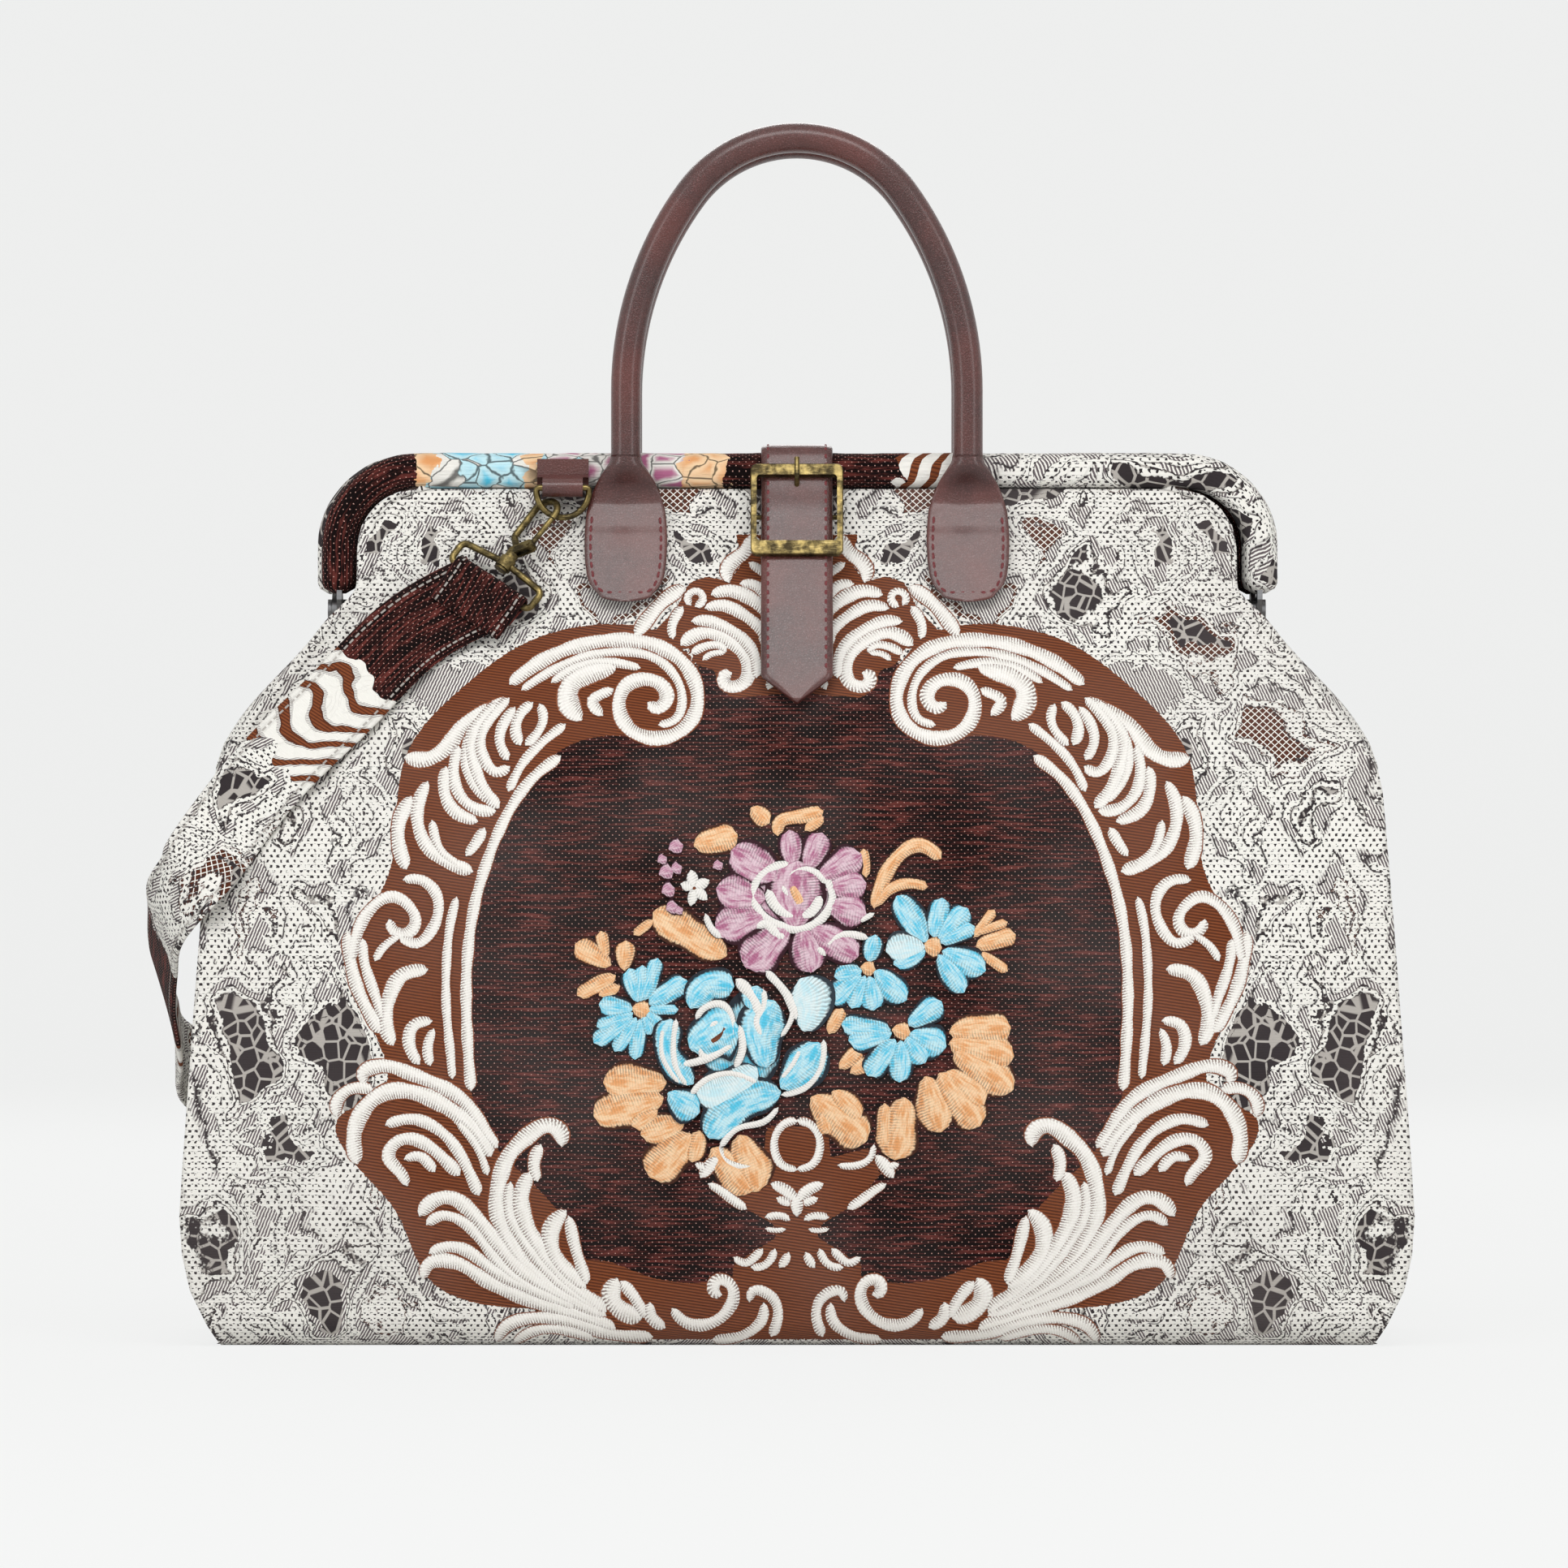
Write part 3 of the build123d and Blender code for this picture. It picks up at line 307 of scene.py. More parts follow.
def buildLeather(s):
    place = s.onObject()
    grain = s.cells(place, 900.0)
    fine = s.noise(place, 1500.0, 2.0)
    cloudy = s.noise(place, 28.0, 3.0).fade(0.3, 0.7)
    wear = s.noise(place, 120.0, 4.0, 0.7).fade(0.45, 0.8)
    colour = cloudy.mixed(rgb(56, 21, 17), rgb(86, 36, 29))
    colour = (wear * 0.22).mixed(colour, rgb(116, 64, 60))
    colour = (fine.fade(0.5, 0.75) * 0.35).mixed(colour, rgb(132, 84, 84))
    return {"Base Color": colour, "Roughness": 0.30 + cloudy * 0.12 + (1 - grain.fade(0.0, 0.25)) * 0.12,
            "Height": (grain.fade(0.0, 0.28) * 0.7 + fine * 0.5, 0.42, 0.0005)}


def buildAntiqueBrass(s):
    place = s.onObject()
    patch = s.noise(place, 170.0, 5.0, 0.65).fade(0.36, 0.66)
    fine = s.noise(place, 900.0, 3.0, 0.6)
    scratch = s.noise(s.node("ShaderNodeMapping", {}, {0: place, 3: (300.0, 300.0, 2600.0)})).fade(0.5, 0.8)
    colour = patch.mixed(rgb(60, 52, 36), rgb(128, 112, 70))
    colour = (scratch * 0.35).mixed(colour, rgb(190, 172, 122))
    return {"Base Color": colour, "Roughness": 0.30 + (1 - patch) * 0.22 + fine * 0.08,
            "Height": (fine + patch * 0.6, 0.10, 0.0003)}


def buildSteel(s):
    place = s.onObject()
    brushed = s.noise(s.node("ShaderNodeMapping", {}, {0: place, 3: (40.0, 900.0, 900.0)}))
    colour = brushed.mixed(rgb(120, 120, 122), rgb(170, 170, 172))
    return {"Base Color": colour, "Roughness": 0.3 + brushed * 0.2}


def buildLining(s):
    place = s.onObject()
    x, y, z = s.parts(place)
    warp = abs((x * 1400.0 + y * 900.0).fract() - 0.5)
    weft = abs((z * 1400.0).fract() - 0.5)
    cloudy = s.noise(place, 22.0, 3.0)
    return {"Base Color": (warp * 0.5 + cloudy * 0.5).mixed(rgb(46, 34, 30), rgb(78, 60, 52)),
            "Height": (warp + weft, 0.3, 0.0005)}


def buildBoard(s):
    place = s.onObject()
    fibre = s.noise(place, 220.0, 4.0, 0.7)
    return {"Base Color": fibre.mixed(rgb(40, 32, 28), rgb(70, 58, 50)), "Height": (fibre, 0.3, 0.0005)}


def buildStitch(s):
    place = s.onObject()
    twist = s.noise(place, 1800.0, 1.0)
    return {"Base Color": twist.mixed(rgb(60, 14, 18), rgb(136, 56, 60)), "Height": (twist, 0.4, 0.0003)}


leather = makeMaterial("rolledLeather", buildLeather, Coat_Weight=0.6, Coat_Roughness=0.22, Specular_IOR_Level=0.4)
antiqueBrass = makeMaterial("antiqueBrass", buildAntiqueBrass, Metallic=1.0)
steel = makeMaterial("frameSteel", buildSteel, Metallic=1.0)
liningCloth = makeMaterial("liningCloth", buildLining, Roughness=0.9)
boardFinish = makeMaterial("baseBoard", buildBoard, Roughness=0.85)
stitchThread = makeMaterial("stitchThread", buildStitch, Roughness=0.7)
print("stage: materials")

# the woven figures: each stroke is its half width, then x and z of its points, in tenths of a millimetre
scrollRows = [
    (19, -1000, 2490, -1107, 2407, -1196, 2294, -1272, 2142, -1322, 2003, -1360, 1863, -1386, 1686, -1394, 1509,
     -1388, 1307, -1373, 1104, -1370, 1079),
    (16, -981, 2625, -1094, 2534, -1170, 2445, -1221, 2338),
    (25, -1221, 2793, -1094, 2888, -930, 2958, -766, 2983, -614, 2964, -487, 2888, -424, 2762, -443, 2648, -525,
     2578, -626, 2566, -715, 2610, -755, 2698, -728, 2784, -652, 2815, -576, 2790, -553, 2730, -595, 2692, -633,
     2717),
    (15, -1170, 2768, -1044, 2850, -892, 2914, -766, 2932, -626, 2914, -525, 2838, -487, 2736, -512, 2648, -588,
     2620),
    (15, -1044, 2800, -930, 2869, -803, 2888, -664, 2863),
    (38, -911, 2641, -968, 2711, -962, 2787, -879, 2844, -766, 2869),
    (19, -822, 2660, -867, 2724, -803, 2762, -778, 2774), (16, -1094, 2711, -1076, 2648, -1107, 2578, -1151, 2534),
    (19, -1120, 2717, -1170, 2673, -1193, 2597, -1170, 2534),
    (22, -1272, 2717, -1348, 2635, -1386, 2547, -1367, 2445, -1322, 2344, -1259, 2268),
    (20, -1221, 2736, -1297, 2660, -1341, 2572, -1329, 2483, -1272, 2420, -1215, 2445),
    (18, -1196, 2698, -1246, 2623, -1259, 2547, -1221, 2471),
    (28, -1666, 2483, -1563, 2477, -1474, 2540, -1423, 2610, -1322, 2673, -1221, 2730),
    (22, -1487, 2445, -1493, 2344, -1449, 2256, -1348, 2211),
    (20, -1436, 2534, -1455, 2420, -1423, 2319, -1348, 2262, -1272, 2256),
    (18, -1386, 2597, -1404, 2483, -1360, 2357, -1284, 2294),
    (23, -1563, 2382, -1601, 2294, -1601, 2192, -1550, 2091, -1449, 2028, -1367, 2000),
    (25, -1632, 2319, -1680, 2218, -1683, 2116, -1649, 2009), (15, -1544, 2218, -1506, 2091, -1423, 2022),
    (19, -1320, 2186, -1360, 2116, -1398, 2066),
    (20, -1879, 1623, -1847, 1762, -1784, 1857, -1708, 1895, -1639, 1857, -1609, 1787, -1649, 1739, -1704, 1756,
     -1721, 1800),
    (19, -1664, 1965, -1588, 1965, -1527, 1914, -1512, 1838, -1544, 1749, -1601, 1699, -1677, 1730),
    (13, -1670, 1737, -1746, 1680, -1780, 1623),
    (15, -1436, 1895, -1461, 1787, -1477, 1623, -1477, 1433, -1461, 1256, -1449, 1129),
    (22, -1899, 1746, -1886, 1642, -1862, 1537, -1817, 1432, -1751, 1321),
    (18, -1836, 1720, -1823, 1615, -1784, 1498, -1745, 1380),
    (26, -1555, 1589, -1666, 1563, -1718, 1471, -1732, 1354, -1699, 1269),
    (21, -1535, 1373, -1614, 1354, -1633, 1275, -1588, 1190), (17, -1529, 1341, -1555, 1262, -1542, 1184),
    (24, -1817, 1105, -1826, 1151, -1745, 1184, -1640, 1157, -1509, 1105, -1391, 1026, -1313, 909, -1258, 841),
    (20, -1934, 968, -1938, 1026, -1882, 1085, -1784, 1085),
    (29, -1849, 771, -1865, 882, -1823, 1000, -1718, 1076, -1588, 1066, -1457, 1000, -1352, 909, -1286, 804),
    (20, -1732, 935, -1614, 961, -1483, 896, -1404, 791, -1336, 640),
    (22, -1637, 680, -1669, 739, -1718, 804, -1677, 869, -1588, 869, -1496, 804, -1417, 725),
    (18, -1653, 791, -1588, 804, -1522, 739), (13, -1430, 948, -1352, 856, -1300, 725),
    (29, -988, 846, -996, 909, -1051, 935, -1129, 893, -1208, 814, -1250, 712, -1263, 595, -1234, 490, -1143, 346,
     -985, 222, -802, 130),
    (22, -1077, 856, -1106, 778, -1090, 699),
    (31, -1123, 739, -1162, 634, -1143, 529, -1064, 385, -946, 254, -802, 150),
    (18, -1205, 699, -1211, 568, -1143, 437, -1025, 293, -855, 163),
    (31, -970, 579, -1027, 516, -1035, 424, -979, 326, -887, 252), (20, -962, 555, -933, 424, -883, 267),
    (26, -1588, 553, -1535, 614, -1457, 631, -1378, 581, -1300, 490, -1195, 359, -1038, 241, -828, 136),
    (18, -1559, 516, -1496, 555, -1417, 536, -1339, 464, -1234, 333, -1090, 228),
    (21, -1548, 396, -1470, 424, -1391, 409, -1286, 333, -1143, 254, -933, 163),
    (24, -1572, 287, -1548, 352, -1430, 356, -1326, 293, -1169, 215, -933, 136, -763, 78),
    (21, -1267, 19, -1228, 84, -1129, 121, -959, 110, -802, 58, -606, 42),
    (16, -1195, 12, -1116, 64, -985, 71, -855, 32), (35, -756, 293, -783, 215, -730, 150, -652, 123),
    (21, -743, 280, -678, 202, -639, 123), (24, -619, 191, -616, 130, -554, 81),
    (21, -527, 165, -475, 108, -383, 95, -298, 147, -266, 222, -292, 278, -342, 280, -349, 235, -315, 222),
    (18, -200, 191, -184, 239, -109, 215, -80, 136, -109, 42), (18, -141, 189, -148, 117, -239, 45, -357, 29),
    (24, -478, 3211, -562, 3155, -632, 3078, -688, 3001), (17, -485, 3127, -519, 3078, -533, 3029, -526, 2986),
    (13, -450, 3130, -466, 3162, -440, 3191, -407, 3181, -403, 3148, -435, 3125),
    (24, -366, 3176, -290, 3193, -206, 3165, -136, 3109, -98, 3057),
    (21, -393, 3118, -318, 3130, -234, 3095, -164, 3040, -122, 2987, -93, 2924),
    (20, -450, 3062, -380, 3064, -290, 3029, -220, 2977, -179, 2907, -172, 2820),
    (24, -494, 2959, -443, 2998, -373, 3014, -290, 2980, -234, 2931, -206, 2862, -219, 2807, -262, 2783, -302, 2793,
     -309, 2827, -276, 2842),
    (14, -450, 2922, -401, 2951, -325, 2958, -300, 2931), (10, -401, 2895, -366, 2921, -304, 2928),
    (20, -244, 3223, -178, 3216, -129, 3169, -101, 3127), (15, -161, 3008, -119, 2938, -100, 2855, -124, 2770),
    (25, -288, 3228, -298, 3280, -262, 3329, -220, 3364, -192, 3406, -159, 3414),
    (14, -206, 3315, -164, 3287, -115, 3252), (14, -144, 418, -182, 379, -217, 357, -267, 382),
    (14, -93, 418, -111, 373, -147, 343, -195, 339), (18, -35, 403, -51, 368, -75, 337),
    (15, -375, 691, -323, 662, -276, 627, -211, 584), (24, 2, 553, -2, 638), (19, -2, 615, -41, 659, -111, 691),
    (13, -20, 603, -88, 631), (13, -135, 549, -64, 555, -29, 537), (8, -135, 502, -88, 494, -47, 500),
    (13, 3, 750, -64, 771, -95, 833, -88, 898, -47, 945, 3, 955), (11, -170, 768, -238, 765, -306, 797, -323, 856),
    (20, -329, 809, -376, 756, -406, 715), (12, -376, 756, -429, 773),
]
# the flowers' strokes from the lowest to the uppermost, in runs of one yarn
flowerRuns = [
    ("pink", [(240, -170, 1860, -5, 1885, 150, 1865)]),
    ("blue", [(230, -410, 1245, -240, 1270, -70, 1295)]),
    ("peach", [
        (61, -549, 1116, -682, 1116, -815, 1116), (63, -562, 1053, -709, 1014, -855, 974),
        (38, -587, 1002, -641, 967, -695, 933), (48, -473, 952, -565, 923, -657, 895),
        (71, -448, 901, -533, 809, -619, 718), (38, -410, 914, -426, 847, -442, 781),
        (58, -360, 838, -277, 746, -195, 654), (76, -246, 895, -205, 776, -163, 658),
        (46, 96, 990, 116, 945, 136, 901), (68, 58, 1053, 175, 961, 292, 869), (46, 147, 1078, 207, 1021, 267, 964),
        (63, 450, 1053, 430, 921, 410, 790), (28, 368, 1028, 366, 936, 364, 844),
        (58, 627, 1160, 706, 1091, 786, 1021), (63, 539, 1141, 572, 1024, 605, 907),
        (61, 596, 1154, 682, 1043, 769, 933), (53, 640, 1325, 770, 1336, 899, 1346),
        (56, 640, 1281, 776, 1252, 912, 1224), (58, 659, 1249, 784, 1167, 908, 1084),
        (28, 134, 1319, 162, 1372, 191, 1426), (30, 178, 1173, 223, 1214, 267, 1255),
        (28, 223, 1154, 267, 1179, 311, 1205), (56, -296, 1647, -451, 1739, -606, 1831),
        (16, -606, 1799, -647, 1766, -688, 1734), (51, -435, 2109, -343, 2133, -251, 2156),
        (40, -195, 2270, -156, 2237, -117, 2204), (38, -783, 1607, -859, 1651, -935, 1696),
        (22, -802, 1635, -815, 1693, -828, 1751), (33, -726, 1584, -724, 1647, -721, 1711),
        (28, -764, 1565, -845, 1523, -926, 1480), (22, -745, 1521, -790, 1501, -834, 1480),
        (33, 754, 1685, 837, 1711, 921, 1736), (18, 741, 1723, 787, 1782, 832, 1840),
        (16, 754, 1742, 820, 1766, 887, 1789), (18, 769, 1660, 828, 1621, 887, 1582),
        (18, 292, 1976, 286, 2037, 279, 2097), (20, 33, 2173, 72, 2202, 111, 2232),
        (25, -81, 2151, -71, 2211, 7, 2232, 111, 2257), (25, 324, 1847, 362, 1964, 425, 2063, 514, 2113, 608, 2055),
        (19, 336, 1856, 387, 1923, 476, 1951, 551, 1936),
    ]),
    ("blue", [
        (33, -666, 1451, -688, 1528, -707, 1594), (30, -656, 1453, -653, 1536, -651, 1607),
        (30, -644, 1459, -614, 1555, -587, 1637), (40, -622, 1442, -537, 1497, -463, 1544),
        (20, -628, 1420, -559, 1421, -499, 1422), (25, -641, 1408, -602, 1379, -568, 1354),
        (25, -649, 1401, -631, 1355, -615, 1316), (28, -661, 1382, -673, 1290, -682, 1211),
        (30, -677, 1388, -725, 1311, -767, 1245), (33, -693, 1395, -780, 1333, -855, 1281),
        (25, -690, 1407, -772, 1376, -843, 1349), (38, -689, 1424, -767, 1434, -834, 1443),
    ]),
    ("peach", [(43, -696, 1425, -657, 1420, -618, 1412)]),
    ("blue", [
        (46, 543, 1724, 476, 1817, 419, 1898), (33, 551, 1706, 502, 1756, 460, 1799),
        (40, 578, 1722, 596, 1813, 612, 1890), (43, 597, 1715, 662, 1786, 718, 1847),
        (30, 602, 1701, 680, 1739, 748, 1771), (46, 611, 1667, 709, 1623, 794, 1584),
        (38, 594, 1651, 653, 1566, 703, 1493), (35, 541, 1672, 468, 1638, 406, 1610),
    ]),
    ("peach", [(43, 532, 1691, 570, 1685, 609, 1678)]),
    ("blue", [
        (40, 273, 1588, 211, 1572, 157, 1559), (43, 268, 1569, 195, 1508, 131, 1455),
        (30, 286, 1564, 255, 1490, 229, 1426), (43, 303, 1562, 313, 1485, 321, 1417),
        (46, 328, 1570, 399, 1511, 460, 1460), (30, 321, 1581, 377, 1549, 425, 1521),
        (35, 304, 1620, 318, 1682, 330, 1736),
    ]),
    ("peach", [(35, 267, 1599, 298, 1594, 330, 1587)]),
    ("blue", [
        (43, 468, 1354, 544, 1408, 608, 1455), (56, 472, 1319, 555, 1290, 627, 1265),
        (43, 456, 1307, 500, 1249, 539, 1198), (43, 436, 1292, 434, 1198, 431, 1116),
        (43, 412, 1297, 350, 1215, 296, 1144), (35, 393, 1336, 282, 1348, 187, 1359),
        (43, 398, 1324, 300, 1306, 216, 1291),
    ]),
    ("peach", [(43, 399, 1336, 438, 1331, 476, 1324)]),
    ("pale", [(51, 539, 1685, 463, 1685, 374, 1666)]),
    ("pink", [
        (73, -81, 1976, -179, 2033, -277, 2090), (43, -18, 2027, -25, 2102, -33, 2176),
        (51, 45, 2014, 76, 2089, 106, 2164), (53, 96, 1976, 183, 2026, 271, 2075),
        (51, 121, 1926, 207, 1939, 292, 1951), (58, 121, 1863, 207, 1840, 292, 1818),
        (58, 58, 1761, 158, 1703, 258, 1645), (66, 20, 1761, 42, 1670, 64, 1578),
        (71, -43, 1774, -130, 1687, -218, 1599), (63, -132, 1825, -238, 1792, -344, 1759),
        (61, -132, 1888, -236, 1908, -341, 1928), (133, -5, 1761, -5, 1901, -5, 2046),
    ]),
    ("white", [
        (18, -24, 2033, -119, 2012, -180, 1939, -170, 1850, -94, 1784, 7, 1759, 109, 1809, 149, 1898, 124, 1974),
        (16, -43, 1974, 7, 2012, 83, 1994, 124, 1949), (25, -125, 1926, -79, 1847, -3, 1809),
        (27, 99, 1903, 61, 1837, 10, 1809), (15, 121, 1683, 185, 1734, 301, 1721),
        (15, -387, 1825, -360, 1761, -315, 1723), (22, -172, 1761, -132, 1784, -81, 1736, -43, 1730),
        (11, 258, 1789, 326, 1827), (13, -68, 1951, -31, 1888), (15, 83, 1685, 121, 1647),
    ]),
    ("peach", [(25, -24, 1949, -3, 1901, 18, 1856)]),
    ("pink", [
        (43, -541, 2095, -511, 2106, -481, 2113), (43, -582, 1989, -552, 1999, -522, 2007),
        (33, -532, 2004, -509, 2014, -486, 2022), (38, -570, 1913, -543, 1923, -516, 1931),
        (35, -551, 1840, -527, 1850, -502, 1858), (28, -588, 2042, -568, 2052, -549, 2060),
        (25, -516, 1827, -499, 1837, -481, 1845), (30, -355, 2017, -334, 2027, -313, 2035),
    ]),
    ("white", [
        (25, -433, 1932, -462, 1940, -491, 1949), (25, -433, 1932, -440, 1970, -448, 2008),
        (25, -433, 1932, -401, 1949, -370, 1966), (25, -433, 1932, -406, 1907, -378, 1882),
        (25, -433, 1932, -440, 1894, -448, 1856),
    ]),
    ("brown", [(11, -438, 1941, -428, 1921)]),
    ("blue", [
        (43, -435, 1110, -543, 1243, -530, 1382), (56, -448, 1426, -378, 1518, -265, 1518),
        (63, -195, 1420, -167, 1521), (76, -125, 1179, -144, 1356, -94, 1458),
    ]),
    ("pale", [(76, 26, 1331, 61, 1451, 10, 1549)]),
    ("blue", [
        (70, -68, 1091, 39, 1192, 93, 1283), (58, -543, 1072, -461, 1015, -410, 990),
        (63, -68, 1076, -195, 1050, -296, 987, -370, 882),
    ]),
    ("pale", [(63, -170, 1179, -309, 1084, -423, 1068)]),
    ("blue", [(109, -448, 1255, -347, 1319, -246, 1344)]),
    ("brown", [(33, -372, 1281, -322, 1319, -296, 1356)]),
    ("white", [
        (15, -425, 1379, -397, 1422, -322, 1445, -281, 1405, -268, 1303), (16, -489, 1189, -382, 1215, -265, 1278),
        (14, -410, 1281, -397, 1230, -344, 1215), (14, -378, 1344, -322, 1379),
        (25, -258, 1549, -192, 1480, -155, 1392), (18, -132, 1584, -81, 1531, -41, 1480, -3, 1379),
        (15, -144, 1508, -142, 1432, -170, 1379, -142, 1303), (16, -243, 1356, -230, 1255, -262, 1177),
        (14, -448, 1063, -382, 1126, -268, 1152, -167, 1114), (13, 111, 1296, 99, 1179, 23, 1088, -68, 1063),
        (13, -322, 844, -246, 924, -144, 949, -79, 1012), (14, -509, 1382, -521, 1281, -509, 1179, -461, 1103),
        (11, -564, 1344, -567, 1230, -496, 1114), (11, -68, 1306, -24, 1382, -15, 1458),
        (11, -68, 1129, -18, 1192, 14, 1255),
    ]),
]


def strokeOf(row):  # half width and places, in millimetres
    half, *places = (value / 10 for value in row)
    return (half, *zip(places[::2], places[1::2]))


scrollStrokes = [strokeOf(row) for row in scrollRows]
flowerStrokes = [(kind, *strokeOf(row)) for kind, rows in flowerRuns for row in rows]


# meshes, made in millimetres and stored in metres
def splineAt(knots, values, at):  # natural cubic spline
    h = np.diff(knots)
    n = len(knots)
    a, b = np.eye(n), np.zeros(n)
    for i in range(1, n - 1):
        a[i, i - 1:i + 2] = h[i - 1], 2 * (h[i - 1] + h[i]), h[i]
        b[i] = 3 * ((values[i + 1] - values[i]) / h[i] - (values[i] - values[i - 1]) / h[i - 1])
    c = np.linalg.solve(a, b)
    i = np.clip(np.searchsorted(knots, at) - 1, 0, n - 2)
    d = at - knots[i]
    slope = (values[i + 1] - values[i]) / h[i] - h[i] * (2 * c[i] + c[i + 1]) / 3
    return values[i] + slope * d + c[i] * d ** 2 + (c[i + 1] - c[i]) / (3 * h[i]) * d ** 3


def runAlong(points):  # distance from the first point to each one
    return np.concatenate([[0], np.cumsum(np.linalg.norm(np.diff(points, axis=0), axis=1))])


def atRun(at, run, points):
    return np.stack([np.interp(at, run, points[:, k]) for k in range(points.shape[1])], 1)


def unit(vectors):
    return vectors / np.linalg.norm(vectors, axis=1)[:, None]


def eased(share):  # 0 to 1 with a smooth start and end
    share = np.clip(share, 0, 1)
    return share * share * (3 - 2 * share)


def boxed(values, power):  # a sine or cosine pressed out towards a square
    return np.sign(values) * np.abs(values) ** power


def smoothLine(points, step):  # evenly spaced points on the spline through some points
    points = np.array(points, float)
    knots = np.concatenate([[0], np.cumsum(np.linalg.norm(np.diff(points, axis=0), axis=1) ** 0.7)])
    fine = np.linspace(0, knots[-1], 40 * len(points))
    line = np.stack([splineAt(knots, points[:, k], fine) for k in range(points.shape[1])], 1)
    run = runAlong(line)
    even = np.linspace(0, run[-1], max(4, int(run[-1] / step) + 2))
    return atRun(even, run, line), even


def gridFaces(rows, columns, first=0, closed=False):
    j, i = np.meshgrid(np.arange(rows - 1), np.arange(columns if closed else columns - 1), indexing="ij")
    a = first + j * columns + i
    b = first + j * columns + (i + 1) % columns
    return np.stack([a, b, b + columns, a + columns], -1).reshape(-1, 4)


def makePiece(name, points, faces, materials, uv=None, facts=None, flip=False):
    mesh = bpy.data.meshes.new(name)
    faces = [tuple(int(k) for k in (face[::-1] if flip else face)) for face in faces]
    mesh.from_pydata((np.asarray(points) * mm).tolist(), [], faces)
    mesh.update()
    for material in materials:
        mesh.materials.append(material)
    if uv is not None:
        corner = np.zeros(len(mesh.loops), int)
        mesh.loops.foreach_get("vertex_index", corner)
        mesh.uv_layers.new(name="cloth").data.foreach_set("uv", np.asarray(uv, float)[corner].ravel())
    for key, values in (facts or {}).items():
        mesh.attributes.new(key, "FLOAT", "POINT").data.foreach_set("value", np.asarray(values, np.float32))
    mesh.polygons.foreach_set("use_smooth", [True] * len(mesh.polygons))
    made = bpy.data.objects.new(name, mesh)
    bpy.context.scene.collection.objects.link(made)
    return made


def settle(made, *changes):  # adds modifiers and keeps their result as the mesh
    for kind, values in changes:
        modifier = made.modifiers.new(kind, kind)
        for key, value in values.items():
            setattr(modifier, key, value)
    bpy.context.view_layer.update()
    final = bpy.data.meshes.new_from_object(made.evaluated_get(bpy.context.evaluated_depsgraph_get()))
    made.modifiers.clear()
    made.data = final
    return made


def turned(points):  # the rear twin of a front piece
    return np.asarray(points) * np.array([-1.0, -1.0, 1.0])


bothSides = (("front", np.asarray), ("rear", turned))

# the body's soft form
body = {
    "levels": np.array([0, 6, 20, 70, 150, 235, 312, 363.2]),
    "middle": np.array([84, 94, 100, 104, 97, 77, 40, 14.0]),
    "side": np.array([84, 91, 94, 95, 82, 50, 13, 14.0]),
    "belly": 260.0, "top": 363.2, "gussetTop": 303.5,
    "outline": [(243, 0), (248.5, 9), (255.6, 23.65), (258.9, 39), (260, 55), (258.7, 76), (248.6, 234), (246.4, 245),
                (241.5, 254), (234, 263.5), (201.5, 306.5), (197.5, 310.6), (190.3, 317.4), (188.2, 321), (188, 326),
                (188, 338), (186.2, 347.4), (180.8, 355.7), (172.6, 361.3), (163.8, 363.2)],
    "columns": 216, "rows": 168, "gussetColumns": 22, "baseRows": 10,
}


def profile(depths):
    t = np.concatenate([[0], np.cumsum(np.hypot(np.diff(body["levels"]), np.diff(depths)))])
    fine = np.linspace(0, t[-1], 900)
    return splineAt(t, body["levels"].astype(float), fine), splineAt(t, depths, fine)


middleLine, sideLine = profile(body["middle"]), profile(body["side"])
outlineWide = np.array([p[0] for p in body["outline"]], float)
outlineHigh = np.array([p[1] for p in body["outline"]], float)
waveRanges = ((0.008, 0.05), (0.008, 0.035), (0, 6.3), (0.15, 0.4))  # pitch across, pitch up, phase, size
waves = [tuple(rng.uniform(*ends) for ends in waveRanges) for i in range(14)]
folds = [  # soft creases as (x, z, direction, length, width, depth)
    (-150, 262, -0.75, 60, 9, 1.6), (160, 268, 0.7, 55, 9, 1.8), (-60, 296, -1.2, 40, 8, 1.0),
    (66, 300, 1.25, 44, 8, 1.1), (-214, 60, 1.0, 70, 12, 1.6), (212, 66, -1.0, 76, 12, 1.8),
    (-228, 150, 1.5, 80, 10, 1.3), (226, 170, -1.5, 90, 10, 1.4), (30, 12, 0.05, 160, 7, 1.0),
    (-110, 14, -0.05, 120, 7, 0.9), (205, 250, 0.95, 50, 8, 1.5), (-205, 244, -0.9, 50, 8, 1.5),
]
hookDent = {"x": -122, "z": 330, "wide": 30, "high": 26, "deep": 1.5}  # the cloth gives way where the hook lies


def wrinkle(x, z):
    total = np.zeros_like(x, float)
    for fx, fz, phase, size in waves:
        total += size * np.sin(fx * x + fz * z * 1.7 + phase) * np.cos(fz * x * 0.6 - fx * z + phase * 2)
    for cx, cz, way, long, wide, deep in folds:
        along = (x - cx) * math.cos(way) + (z - cz) * math.sin(way)
        off = -(x - cx) * math.sin(way) + (z - cz) * math.cos(way) + 4 * np.sin(along * 0.05)
        crease = np.exp(-(off / wide) ** 2) - 0.55 * np.exp(-((off - 1.7 * wide) / wide) ** 2)
        total -= deep * np.exp(-(along / long) ** 2) * crease
    calm = np.clip((z - 2) / 22, 0, 1) * np.clip((352 - z) / 25, 0, 1)
    dent = hookDent
    underHook = np.exp(-((x - dent["x"]) / dent["wide"]) ** 2 - ((z - dent["z"]) / dent["high"]) ** 2)
    return total * calm * (1 - underHook) - dent["deep"] * underHook


